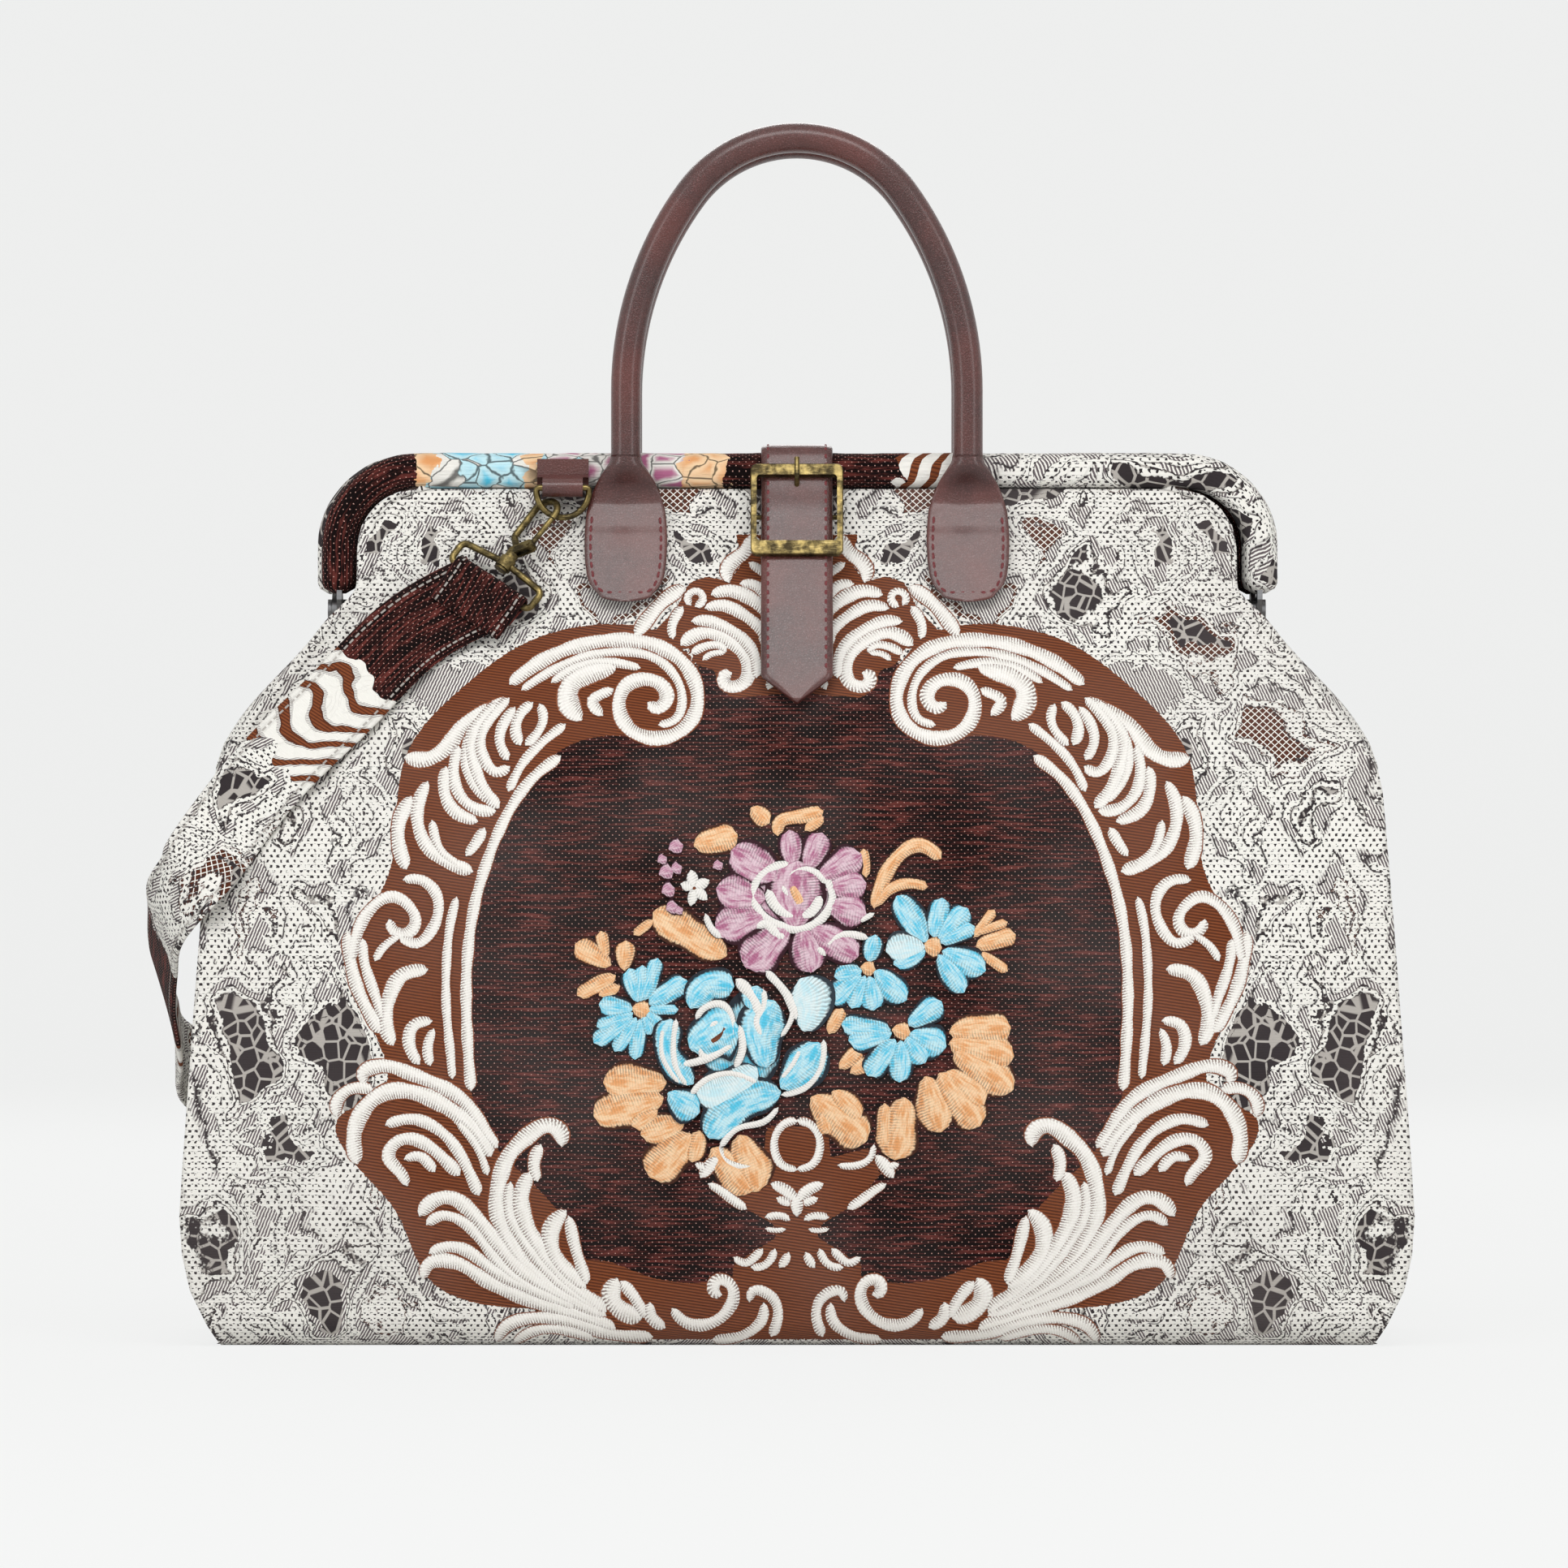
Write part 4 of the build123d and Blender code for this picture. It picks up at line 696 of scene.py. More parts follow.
def depthAt(x, z):
    middle, side = np.interp(z, *middleLine), np.interp(z, *sideLine)
    return middle + (side - middle) * np.clip(x / body["belly"], -1, 1) ** 2


def faceY(x, z):  # the outer face of the front panel
    return -(depthAt(x, z) + wrinkle(x, z))


def wideAt(z):
    return np.interp(z, outlineHigh, outlineWide)


def edgeDistance(x, z, loop):  # distance to a closed line in the front view, less than 0 inside it
    loop = np.array(loop, float)
    best = np.full(x.shape, 1e9)
    inside = np.zeros(x.shape, bool)
    for (ax, az), (bx, bz) in zip(loop, np.roll(loop, -1, 0)):
        dx, dz = bx - ax, bz - az
        t = np.clip(((x - ax) * dx + (z - az) * dz) / (dx * dx + dz * dz + 1e-9), 0, 1)
        best = np.minimum(best, np.hypot(x - ax - t * dx, z - az - t * dz))
        if az != bz:
            inside ^= ((az > z) != (bz > z)) & (x < dx * (z - az) / dz + ax)
    return np.where(inside, -best, best)


# outlines of the print's fields in the front view, halves first
medallionHalf = [(0, 288), (-36, 288), (-44, 281), (-47, 268), (-61.2, 255.5), (-85.2, 254.8), (-100.9, 248),
                 (-115.3, 233.2), (-123.8, 221.6), (-129.6, 208.6), (-134.4, 191.9), (-137.5, 167.9),
                 (-137.5, 140.2), (-135.1, 109.1), (-125.5, 85.5), (-110.8, 70.1), (-95.4, 51.3), (-87.9, 35.9),
                 (-69.8, 23.9), (-37.3, 18.5), (0, 18.5)]
borderInner = [(-73.5, 20.5), (-87.9, 34.2), (-95.4, 49.9), (-110.8, 68.7), (-126.9, 84.8), (-137.1, 107.7),
               (-139.9, 140.2), (-139.9, 167.9), (-136.5, 192.5), (-131.7, 209.3), (-125.5, 223),
               (-116.6, 234.6), (-102.3, 249.7), (-85.8, 256.8), (-62.6, 256.8)]
borderOuter = [(-45.5, 263.3), (-41.4, 280.4), (-54.4, 299.2), (-81.7, 305.1), (-115.9, 296.9), (-143.3, 277),
               (-165.5, 249.7), (-170, 212), (-174.1, 194.9), (-185.7, 171), (-184.3, 147.1), (-174.1, 123.1),
               (-174.1, 107.7), (-193.9, 95.8), (-184.3, 75.2), (-167.2, 54.7), (-153.6, 27.4), (-115.9, 16.4),
               (-88.6, 16.4)]


def mirrored(points):
    return [(-p[0], *p[1:]) for p in points[::-1]]


crestHalf = [(0, 343), (-26.3, 343.7), (-22.9, 331.7), (-28.7, 323.2), (-38.3, 325.6), (-45.8, 322.8),
             (-51.3, 311.9), (-62.2, 300.3), (-45.1, 294.1), (-42.5, 288), (-35, 285), (-32.5, 277),
             (-27, 273.5), (-14, 274.5), (0, 276)]
urnHalf = [(0, 93), (-13, 93), (-14, 80), (-30, 84), (-35, 73), (-24, 60), (-10, 52), (-8, 47), (-27, 35),
           (-27, 27), (0, 27)]
footHalf = [(0, 28), (-20, 29), (-34, 28), (-46, 27), (-60, 29), (-78, 36), (-95, 38), (-110, 22), (-95, 9),
            (-60, 3), (0, 3)]
medallionLoop = smoothLine(medallionHalf + mirrored(medallionHalf)[1:], 5)[0]
borderLoop = np.concatenate([smoothLine(borderInner, 5)[0], smoothLine(borderOuter, 5)[0]])

# shell halves: base, front face and half of both gussets in one skin, with the lining as its inner face;
# the two halves overlap by some millimetres at the middle of the base and of the gussets
skin = {"overlap": 6, "lowest": 0.35, "thick": 2.4, "foldDeep": 9, "peekDeep": 8.0, "peekAt": 268}
heights = np.concatenate([np.linspace(0, 24, 16)[:-1], np.linspace(24, body["top"], body["rows"] - 15)])
sideCount, baseCount = body["gussetColumns"], body["baseRows"]
share = np.linspace(-1, 1, body["columns"])
rowsOut, uvOut = [], []
run = 0.0
last = None
for row in range(baseCount + len(heights)):
    under = row < baseCount
    z = heights[0] if under else heights[row - baseCount]
    inward = (1 - row / baseCount) if under else 0.0
    wide = wideAt(z)
    x = share * wide
    y = faceY(x, np.full_like(x, z))
    edgeY = y[-1] * (1 - inward)
    y = y * (1 - inward) + skin["overlap"] * inward
    # the seam along the edges stands out a little, with its stitched groove beside it
    near = wide - np.abs(x)
    if not under and z > 8:
        y = y - 1.0 * np.exp(-((near - 2.2) / 2.2) ** 2) + 1.1 * np.exp(-((near - 7.5) / 1.8) ** 2)
    level = skin["lowest"] if under else max(z, skin["lowest"])
    t = np.linspace(0, 1, sideCount + 1)[1:]
    openTop = np.clip((z - body["gussetTop"]) / 8, 0, 1)
    fold = skin["foldDeep"] * np.clip((z - 120) / 170, 0, 1) ** 1.5 * (1 - openTop)
    tuck = np.sin(t * math.pi / 2)
    far = edgeY * (1 - t) + skin["overlap"] * t
    gussetX = wide - fold * tuck ** 1.5 - 1.6 * np.exp(-((t - 0.10) / 0.05) ** 2) * (0 if under else 1)
    gussetX = gussetX * (1 - openTop) + (wide - 5 * t) * openTop
    far = far * (1 - openTop) + (edgeY + 5 * t) * openTop
    peek = skin["peekDeep"] * np.exp(-((z - skin["peekAt"]) / 24) ** 2)
    gussetX = gussetX + peek * np.sin(t * math.pi) ** 0.8 * (1 - openTop)
    swellSide = 0 if under else 2.0 * np.sin(t * math.pi) * np.sin(z * 0.021 + 1) * (1 - openTop)
    gussetX = gussetX + swellSide * (z > 20)
    rowX = np.concatenate([-gussetX[::-1], x, gussetX])
    rowY = np.concatenate([far[::-1], y, far])
    rowsOut.append(np.stack([rowX, rowY, np.full_like(rowX, level)], 1))
    here = (y[len(share) // 2], level)
    run += 0 if last is None else math.hypot(here[0] - last[0], here[1] - last[1])
    last = here
    sideRun = wide + np.cumsum(np.abs(np.diff(np.concatenate([[edgeY], far]))))
    uvOut.append(np.stack([np.concatenate([-sideRun[::-1], x, sideRun]), np.full_like(rowX, run)], 1) * mm)
shellPoints = np.concatenate(rowsOut)
columnsAll = len(share) + 2 * sideCount
shellFaces = gridFaces(len(rowsOut), columnsAll)
shellUv = np.concatenate(uvOut)
onFace = np.zeros(len(shellPoints), bool)
onFace.reshape(len(rowsOut), columnsAll)[baseCount:, sideCount:-sideCount] = True
shellX, shellZ = shellPoints[:, 0], shellPoints[:, 2]
farOff = 50  # a distance that no field reaches
medallionFar = np.where(onFace, edgeDistance(shellX, shellZ, medallionLoop), farOff) * mm
borderFar = np.minimum(edgeDistance(shellX, shellZ, borderLoop), edgeDistance(-shellX, shellZ, borderLoop))
for half in (crestHalf, urnHalf, footHalf):
    borderFar = np.minimum(borderFar, edgeDistance(shellX, shellZ, half + mirrored(half)[1:-1]))
borderFar = np.where(onFace, borderFar, farOff) * mm
for side, turn in bothSides:
    shell = makePiece(side + "Shell", turn(shellPoints), shellFaces, [frontCloth, liningCloth], shellUv,
                      facts={"medallion": medallionFar, "border": borderFar})
    lined = {"thickness": skin["thick"] * mm, "offset": -1.0, "material_offset": 1, "use_rim": True}
    settle(shell, ("SOLIDIFY", lined))
    for corner in shell.data.vertices:  # nothing goes below the surface that the bag stands on
        corner.co.z = max(corner.co.z, 0.0002)
    side + "_frame"
    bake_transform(shell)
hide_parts("front_panel", "left_gusset", "right_gusset", "base_panel", "lining")
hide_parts("rear_panel")
print("stage: body shell")


# woven strokes: crowned satin lines that stand a little above the cloth
strokeCut = {"step": 1.7, "base": 0.06, "height": 0.6, "across": np.array([-1, -0.62, 0, 0.62, 1.0])}


def strokePiece(name, strokes, material, turn, lift, blunt):
    points, faces, uv = [], [], []
    count = 0
    for order, half, *line in strokes:
        way, along = smoothLine(line, strokeCut["step"])
        ahead = np.gradient(way, axis=0)
        ahead /= np.linalg.norm(ahead, axis=1)[:, None] + 1e-9
        aside = np.stack([-ahead[:, 1], ahead[:, 0]], 1)
        ends = np.minimum(along / (2.0 * half), (along[-1] - along) / (blunt * half))
        wide = half * np.sqrt(np.clip(1 - (1 - np.clip(ends, 0, 1)) ** 2, 0.004, 1))
        wide = wide * (1 + 0.08 * np.sin(along * 0.35 + order))
        across = strokeCut["across"]
        x = way[:, :1] + aside[:, :1] * across * wide[:, None]
        z = way[:, 1:] + aside[:, 1:] * across * wide[:, None]
        crown = (1 - across ** 2) ** 0.6 * np.minimum(strokeCut["height"], wide[:, None] * 0.35)
        rise = strokeCut["base"] + crown + lift * order
        points.append(np.stack([x, faceY(x, z) - rise, z], -1).reshape(-1, 3))
        faces.append(gridFaces(len(way), len(across), count))
        uv.append(np.stack([np.repeat(along[:, None] * mm, len(across), 1),
                            np.repeat(across[None] * 0.5 + 0.5, len(way), 0)], -1).reshape(-1, 2))
        count += x.size
    return makePiece(name, turn(np.concatenate(points)), np.concatenate(faces), [material], np.concatenate(uv))


def mirroredStroke(stroke):
    return (stroke[0],) + tuple((-x, z) for x, z in stroke[1:])


scrollShape = {"wider": 1.22, "plus": 0.35, "lift": 0.03, "levels": 12, "blunt": 1.6}
flowerShape = {"wider": 1.38, "widerDisc": 1.12, "disc": 12, "lift": 0.011, "blunt": 0.95, "bluntWhite": 2.0}
scrolls = [(k % scrollShape["levels"], stroke[0] * scrollShape["wider"] + scrollShape["plus"], *s[1:])
           for k, stroke in enumerate(scrollStrokes) for s in (stroke, mirroredStroke(stroke))]
slotOf = {"peach": "peach_yarn", "blue": "blue_yarn", "pale": "blue_yarn", "pink": "pink_yarn", "white": "cream_yarn",
          "brown": "dark_chenille"}
for side, turn in bothSides:
    made = strokePiece(side + "Scrolls", scrolls, threads["cream"], turn, scrollShape["lift"], scrollShape["blunt"])
    side + "_frame"
    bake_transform(made)
    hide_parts(side + "_medallion_field", side + "_scroll_border", side + "_urn_figure")
    for kind, yarnSlot in slotOf.items():
        own = []
        for k, (name, half, *line) in enumerate(flowerStrokes):
            if name == kind:
                narrow = kind == "white" or half > flowerShape["disc"]
                own.append((k, half * flowerShape["widerDisc" if narrow else "wider"], *line))
        blunt = flowerShape["bluntWhite" if kind == "white" else "blunt"]
        made = strokePiece(side + kind.capitalize() + "Figures", own, threads[kind], turn, flowerShape["lift"], blunt)
        side + "_frame"
        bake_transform(made)
        if kind == "peach":
            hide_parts(side + "_peony_figure", side + "_blue_roses", side + "_peach_leaves")
print("stage: woven figures")

# the rolled rim, a padded tube of the cloth over each frame bar
rim = {
    "span": 394.0, "shift": 1.2, "line": 371.0, "foot": 318.6, "corner": 33.0, "y": -8.4, "half": (7.7, 8.2),
    "around": 36, "step": 2.2, "square": 0.72, "endRound": 6.0, "reach": 210,
    # which ground lies where along the rim, from the left
    "grounds": [(-164, "leaf"), (-155, "flower"), (-117, "leaf"), (-110, "rose"), (-48, "leaf"), (-30, "pile"),
                (45, "striped"), (72, "lace")],
}


def rimLine():
    left, right = rim["shift"] - rim["span"] / 2, rim["shift"] + rim["span"] / 2
    top, corner = rim["line"], rim["corner"]
    turnAngles = np.linspace(0, math.pi / 2, 22)
    path = [(left, rim["foot"])]
    path += [(left + corner - corner * math.cos(a), top - corner + corner * math.sin(a)) for a in turnAngles]
    path += [(right - corner + corner * math.sin(a), top - corner + corner * math.cos(a)) for a in turnAngles]
    path = np.array(path + [(right, rim["foot"])])
    run = runAlong(path)
    even = np.linspace(0, run[-1], int(run[-1] / rim["step"]))
    return atRun(even, run, path), even


def buildRimCloth(rear):
    def build(s):
        u, v = s.onCloth()
        x, y, z = s.parts(s.onObject())
        x = x * (-1000.0 if rear else 1000.0)
        wavy = (s.noise(s.place(u * 0.11, v * 0.11), 1.0, 3.0) - 0.5) * 22.0
        where = (x + wavy + rim["reach"]) / (2 * rim["reach"])
        ground, height = laceColour(s, u * 0.8 + 1330.0, v + 640.0)
        pile, pileHeight = pileColour(s, u, v)
        bed = s.place((u + wavy * 0.5) / 11.0, v / 8.0)
        petal = s.cells(bed, 1.0)
        petalKind = s.parts(s.cells(bed, 1.0, "F1", 1))[0]
        flower = (petal.fade(0.05, 0.35)).mixed(yarn["bluePale"], yarn["blue"])
        rose = (petal.fade(0.04, 0.30)).mixed(yarn["cream"], yarn["pink"])
        leaf = (petal.fade(0.05, 0.4)).mixed(yarn["peachPale"], yarn["peach"])
        stripe = abs(((u - v * 0.5) / 9.0 + wavy * 0.02).fract() - 0.5) > 0.2
        looks = {"leaf": leaf, "pile": pile, "lace": ground,
                 "flower": (petalKind > 0.82).mixed(flower, yarn["cream"]),
                 "rose": (petalKind > 0.75).mixed(rose, flower),
                 "striped": stripe.mixed(satinColour(s, u, v)[0], yarn["cream"])}
        colour = pile
        for start, look in rim["grounds"]:
            reached = where > (start + rim["reach"]) / (2 * rim["reach"])
            colour = reached.mixed(colour, looks[look])
        outline = (1 - petal.fade(0.01, 0.05)) * (where > 0.11) * (where < 0.43)
        colour = (outline * 0.8).mixed(colour, yarn["pileDark"])
        pucker = s.noise(s.place(u * 0.12, v * 0.02))
        height = height * reached + (1 - reached) * (petal.fade(0.0, 0.3) * 0.6 + pileHeight * 0.5)
        return {"Base Color": colour, "Height": (height + ribbed(s, v) + pucker * 2.0, 0.6, 0.0011)}
    return build


rimCloths = {side: makeMaterial(side + "RimCloth", buildRimCloth(side == "rear"), **clothFixed)
             for side, turn in bothSides}
line, run = rimLine()
ahead = unit(np.gradient(line, axis=0))
outer = np.stack([-ahead[:, 1], ahead[:, 0]], 1)
angles = np.linspace(0, 2 * math.pi, rim["around"], endpoint=False)
box = np.stack([boxed(np.cos(angles), rim["square"]), boxed(np.sin(angles), rim["square"])], 1)
points = []
for k in range(len(line)):
    endShare = min(1.0, min(run[k], run[-1] - run[k]) / rim["endRound"])
    closing = 0.35 + 0.65 * math.sqrt(1 - (1 - endShare) ** 2)
    bump = 0.35 * math.sin(run[k] * 0.09) + 0.25 * math.sin(run[k] * 0.23 + 1) + 0.18 * math.sin(run[k] * 0.61)
    inCurve = 0.35 * math.sin(run[k] * 1.1) * math.exp(-((line[k, 1] - 358) / 12) ** 2) * (abs(line[k, 0]) > 150)
    half = np.array(rim["half"]) * closing
    out = box[:, 0] * half[0] * (1 + 0.02 * bump) + 0.15 * bump
    deep = box[:, 1] * half[1] * (1 + 0.015 * bump) + inCurve * (box[:, 1] < 0)
    # the seam's groove on the inner side, where the panel joins
    deep = deep + np.exp(-((box[:, 0] + 0.9) / 0.12) ** 2) * (box[:, 1] < 0) * 0.8
    points.append(np.stack([line[k, 0] + outer[k, 0] * out, rim["y"] + deep, line[k, 1] + outer[k, 1] * out], 1))
points = np.concatenate(points)
faces = gridFaces(len(line), rim["around"], closed=True)
caps = [tuple(range(rim["around"]))[::-1], tuple(range(len(points) - rim["around"], len(points)))]
faces = [tuple(f) for f in faces] + caps
uv = np.stack([np.repeat(run, rim["around"]), np.tile(angles * 8.0, len(run))], 1) * mm
for side, turn in bothSides:
    made = makePiece(side + "Rim", turn(points), faces, [rimCloths[side]], uv, flip=True)
    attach(made, side + "_frame")
    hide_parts(side + "_rim_casing")
print("stage: rim")


# leather tabs: a round neck that flares into a flat leaf on the slope
tab = {
    "x": 73.0, "neckY": -23.4, "rimY": -20.4, "proud": 3.6, "thick": 1.65, "neck": 6.45, "inset": 2.6, "around": 40,
    # height and half width
    "shape": [(377.5, 6.45), (374.5, 7.0), (372, 8.6), (369.7, 10.1), (366, 12.4), (361, 14.6), (354, 16.8),
              (347, 17.5), (340, 17.7), (332, 17.4), (325, 16.4), (321, 14.6), (318, 11.6), (316, 7.6), (315, 3.4)],
}


def tabY(z):  # the leaf's middle surface, over the rim and up to the neck
    leaf = -(depthAt(np.full_like(z, tab["x"]), z) + tab["proud"])
    onRim, neck = eased((z - 349) / 14), eased((z - 362) / 13)
    y = leaf * (1 - onRim) + np.minimum(leaf, tab["rimY"]) * onRim
    return y * (1 - neck) + tab["neckY"] * neck


shapeHigh = np.array([p[0] for p in tab["shape"]])[::-1]
shapeWide = np.array([p[1] for p in tab["shape"]])[::-1]
stitchCut = {"long": 3.3, "pitch": 4.3, "wide": 0.55, "rise": 0.5, "sink": 0.25, "start": 0.6}


def stitchPiece(name, lines, normals):  # short threads along lines, each line with its surface normals
    points, faces = [], []
    sink, rise = stitchCut["sink"], stitchCut["rise"]
    bow = np.array([-sink, 0.6 * rise, rise, 0.6 * rise, -sink])[:, None]
    wide = stitchCut["wide"] * np.array([0.5, 1, 1, 1, 0.5])[:, None]
    for line, normal in zip(lines, normals):
        run = runAlong(line)
        for start in np.arange(stitchCut["start"], run[-1] - stitchCut["long"], stitchCut["pitch"]):
            at = np.linspace(start, start + stitchCut["long"], 5)
            mid, up = atRun(at, run, line), atRun(at, run, normal)
            aside = np.cross(unit(np.gradient(mid, axis=0)), up)
            ring = [mid + aside * wide + up * (bow - 0.3), mid + up * bow, mid - aside * wide + up * (bow - 0.3)]
            faces.append(gridFaces(5, 3, len(points)))
            points.extend(np.stack(ring, 1).reshape(-1, 3))
    return makePiece(name, np.array(points), np.concatenate(faces), [stitchThread])


def tabBlock(hand):
    z = np.concatenate([np.linspace(377.5, 360, 16)[:-1], np.linspace(360, 320, 22)[:-1],
                        np.linspace(320, 314.6, 9)])
    wide = np.interp(z, shapeHigh, shapeWide)
    wide[z < 318] = 11.6 * np.sqrt(np.clip(1 - ((318 - z[z < 318]) / 3.45) ** 2, 0.01, 1))
    y = tabY(z)
    angles = np.linspace(0, 2 * math.pi, tab["around"], endpoint=False)
    roundness = np.clip((z - 361) / 14, 0, 1)
    points = []
    for k in range(len(z)):
        thick = tab["thick"] + (wide[k] - tab["thick"]) * roundness[k] ** 1.8
        thick = min(thick, tab["neck"] if z[k] > 372 else thick)
        cx = boxed(np.cos(angles), 1.0 if roundness[k] > 0.5 else 0.8)
        sy = boxed(np.sin(angles), 0.38 + 0.62 * roundness[k])
        dent = 0.9 * np.exp(-((cx * wide[k] + 2.0) / 3.2) ** 2) * np.exp(-((z[k] - 352) / 10) ** 2)
        crease = 0.35 * math.exp(-((z[k] - 347.5) / 1.6) ** 2)
        puff = 0.5 * np.exp(-(cx / 0.7) ** 2) * (1 - roundness[k])
        out = sy * thick + (sy < 0) * (-puff + dent + crease)
        points.append(np.stack([hand * tab["x"] + cx * wide[k], y[k] + out, np.full_like(out, z[k])], 1))
    return np.concatenate(points), len(z)


for side, turn in bothSides:
    points, faces, count = [], [], 0
    lines, normals = [], []
    for hand in (-1, 1):
        block, rows = tabBlock(hand)
        points.append(block)
        faces += [tuple(f) for f in gridFaces(rows, tab["around"], count, closed=True)]
        faces.append(tuple(range(count, count + tab["around"])))
        faces.append(tuple(range(count + len(block) - tab["around"], count + len(block)))[::-1])
        count += len(block)
        zLine = np.concatenate([np.linspace(352, 322, 16), np.linspace(321, 318.6, 4)])
        inset = np.interp(zLine, shapeHigh, shapeWide) - tab["inset"]
        inset[zLine < 319] = np.maximum(inset[zLine < 319] - 1.2, 4)
        left = np.stack([hand * tab["x"] - inset, tabY(zLine) - tab["thick"] - 0.12, zLine], 1)
        right = np.stack([hand * tab["x"] + inset, left[:, 1], zLine], 1)[::-1]
        lines.append(np.concatenate([left, right]))
        normals.append(np.tile([0, -0.91, 0.41], (len(lines[-1]), 1)))
    made = makePiece(side + "Tabs", turn(np.concatenate(points)), faces, [leather])
    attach(made, side + "_frame")
    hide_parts(side + "_handle_tabs")
    made = stitchPiece(side + "TabStitches", [turn(l) for l in lines], [turn(n) for n in normals])
    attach(made, side + "_frame")
print("stage: tabs")


# straps: a band with thinned edges along a line of places, each with its direction across
def bandPoints(middles, sides, wide, thick, across, crown):
    along = np.gradient(middles, axis=0)
    sides = unit(sides - along * (np.sum(sides * along, 1) / np.sum(along * along, 1))[:, None])
    normals = unit(np.cross(along, sides))
    flat = np.linspace(-1, 1, across)
    ringX = np.concatenate([flat * 0.97, [1.0], flat[::-1] * 0.97, [-1.0]])
    ringY = np.concatenate([np.ones(across), [0.0], -np.ones(across), [0.0]])
    ringY = ringY * (1 - 0.35 * (np.abs(ringX) > 0.9)) + crown * (1 - ringX ** 2) * (ringY > 0)
    wide = np.broadcast_to(wide, (len(middles),))
    points = middles[:, None] + sides[:, None] * (ringX[None, :, None] * wide[:, None, None] / 2)
    points = points + normals[:, None] * (ringY[None, :, None] * thick / 2)
    return points.reshape(-1, 3), len(ringX), sides, normals


def bandPiece(name, middles, sides, wide, thick, materials, across=12, crown=0.0, uvShift=0.0):
    points, ring, sides, normals = bandPoints(middles, sides, wide, thick, across, crown)
    rows = len(middles)
    faces = [tuple(f) for f in gridFaces(rows, ring, closed=True)]
    faces += [tuple(range(ring))[::-1], tuple(range(len(points) - ring, len(points)))]
    run = runAlong(middles) + uvShift
    flat = np.linspace(-1, 1, across)
    ringU = np.concatenate([flat, [1.02], flat[::-1], [-1.02]]) * np.max(wide) / 2
    uv = np.stack([np.tile(ringU, rows), np.repeat(run, ring)], 1) * mm
    return makePiece(name, points, faces, materials, uv), sides, normals


closing = {
    "wide": 30.6, "thick": 3.0, "crown": 0.12, "top": 380.5, "pivotY": 9.0, "tip": (-66.96, 271.5),
    "shoulder": (-21.8, 370.0), "round": 6.0, "point": 12, "stitchInset": 3.0,
    "anchorBack": 18.5, "anchorFoot": 368.0, "anchorEnd": 332.5, "anchorSlope": 0.51, "anchorRounds": [4.5, 8],
    "anchorStart": (2.4, -1.4), "anchorPoint": 5,
}


def bentLine(points, radii, step=1.6):  # straight runs joined by rounds, in the side view
    points = [np.array(p, float) for p in points]
    out = [points[0]]
    for before, here, after, radius in zip(points, points[1:], points[2:], radii):
        a, b = (before - here) / np.linalg.norm(before - here), (after - here) / np.linalg.norm(after - here)
        angle = math.acos(np.clip(a @ b, -1, 1))
        reach = radius / math.tan(angle / 2)
        for t in np.linspace(0, 1, 12):
            out.append((1 - t) ** 2 * (here + a * reach) + 2 * t * (1 - t) * here + t * t * (here + b * reach))
    out = np.array(out + [points[-1]])
    run = runAlong(out)
    even = np.linspace(0, run[-1], int(run[-1] / step))
    flat = atRun(even, run, out)
    return np.stack([np.zeros(len(flat)), flat[:, 0], flat[:, 1]], 1), even


tipY, tipZ = closing["tip"]
shoulderY, shoulderZ = closing["shoulder"]
slope = (shoulderY - tipY) / (shoulderZ - tipZ)
bendY = shoulderY + slope * (closing["top"] - shoulderZ)
middles, run = bentLine([(closing["pivotY"], closing["top"]), (bendY, closing["top"]), (tipY, tipZ)],
                        [closing["round"]])
# the strap bulges where the buckle's bar pushes it up
middles[:, 1] -= 1.0 * np.exp(-((middles[:, 2] - 352) / 9) ** 2) * (middles[:, 2] < 372)
down = run[-1] - run
near = down < closing["point"]
wide = np.full(len(run), closing["wide"])
wide[near] = closing["wide"] * np.clip(0.05 + 0.95 * down[near] / closing["point"], 0, 1)
across = np.tile([1.0, 0, 0], (len(run), 1))
made, flank, normal = bandPiece("closingStrap", middles, across, wide, closing["thick"], [leather],
                                crown=closing["crown"])
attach(made, "closing_strap")
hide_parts("closing_strap")
outside = normal * np.sign(normal[:, 1:2] * -1 + normal[:, 2:3] + 1e-6)
keep = slice(2, len(run) - 8)
lines = [(middles + flank * (hand * (wide[:, None] / 2 - closing["stitchInset"]))
          + outside * closing["thick"] * 0.5)[keep] for hand in (-1, 1)]
made = stitchPiece("closingStrapStitches", lines, [outside[keep]] * 2)
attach(made, "closing_strap")
# the anchor runs over the rear roll and down the back
back, foot, low = closing["anchorBack"], closing["anchorFoot"], closing["anchorEnd"]
startY, startZ = closing["anchorStart"]
middles, run = bentLine([(closing["pivotY"] + startY, closing["top"] + startZ), (back, closing["top"]), (back, foot),
                         (back + closing["anchorSlope"] * (foot - low), low)], closing["anchorRounds"])
down = run[-1] - run
near = down < closing["anchorPoint"]
wide = np.full(len(run), closing["wide"])
wide[near] = closing["wide"] * (0.82 + 0.18 * np.sqrt(down[near] / closing["anchorPoint"]))
across = np.tile([1.0, 0, 0], (len(run), 1))
made, flank, normal = bandPiece("strapAnchor", middles, across, wide, closing["thick"], [leather],
                                crown=closing["crown"])
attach(made, "rear_frame")
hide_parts("strap_anchor")
outside = normal * np.sign(normal[:, 1:2] + normal[:, 2:3] + 1e-6)
lines = [(middles + flank * (hand * (wide[:, None] / 2 - closing["stitchInset"]))
          + outside * closing["thick"] * 0.5)[1:-1] for hand in (-1, 1)]
made = stitchPiece("strapAnchorStitches", lines, [outside[1:-1]] * 2)
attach(made, "rear_frame")
print("stage: closing strap")


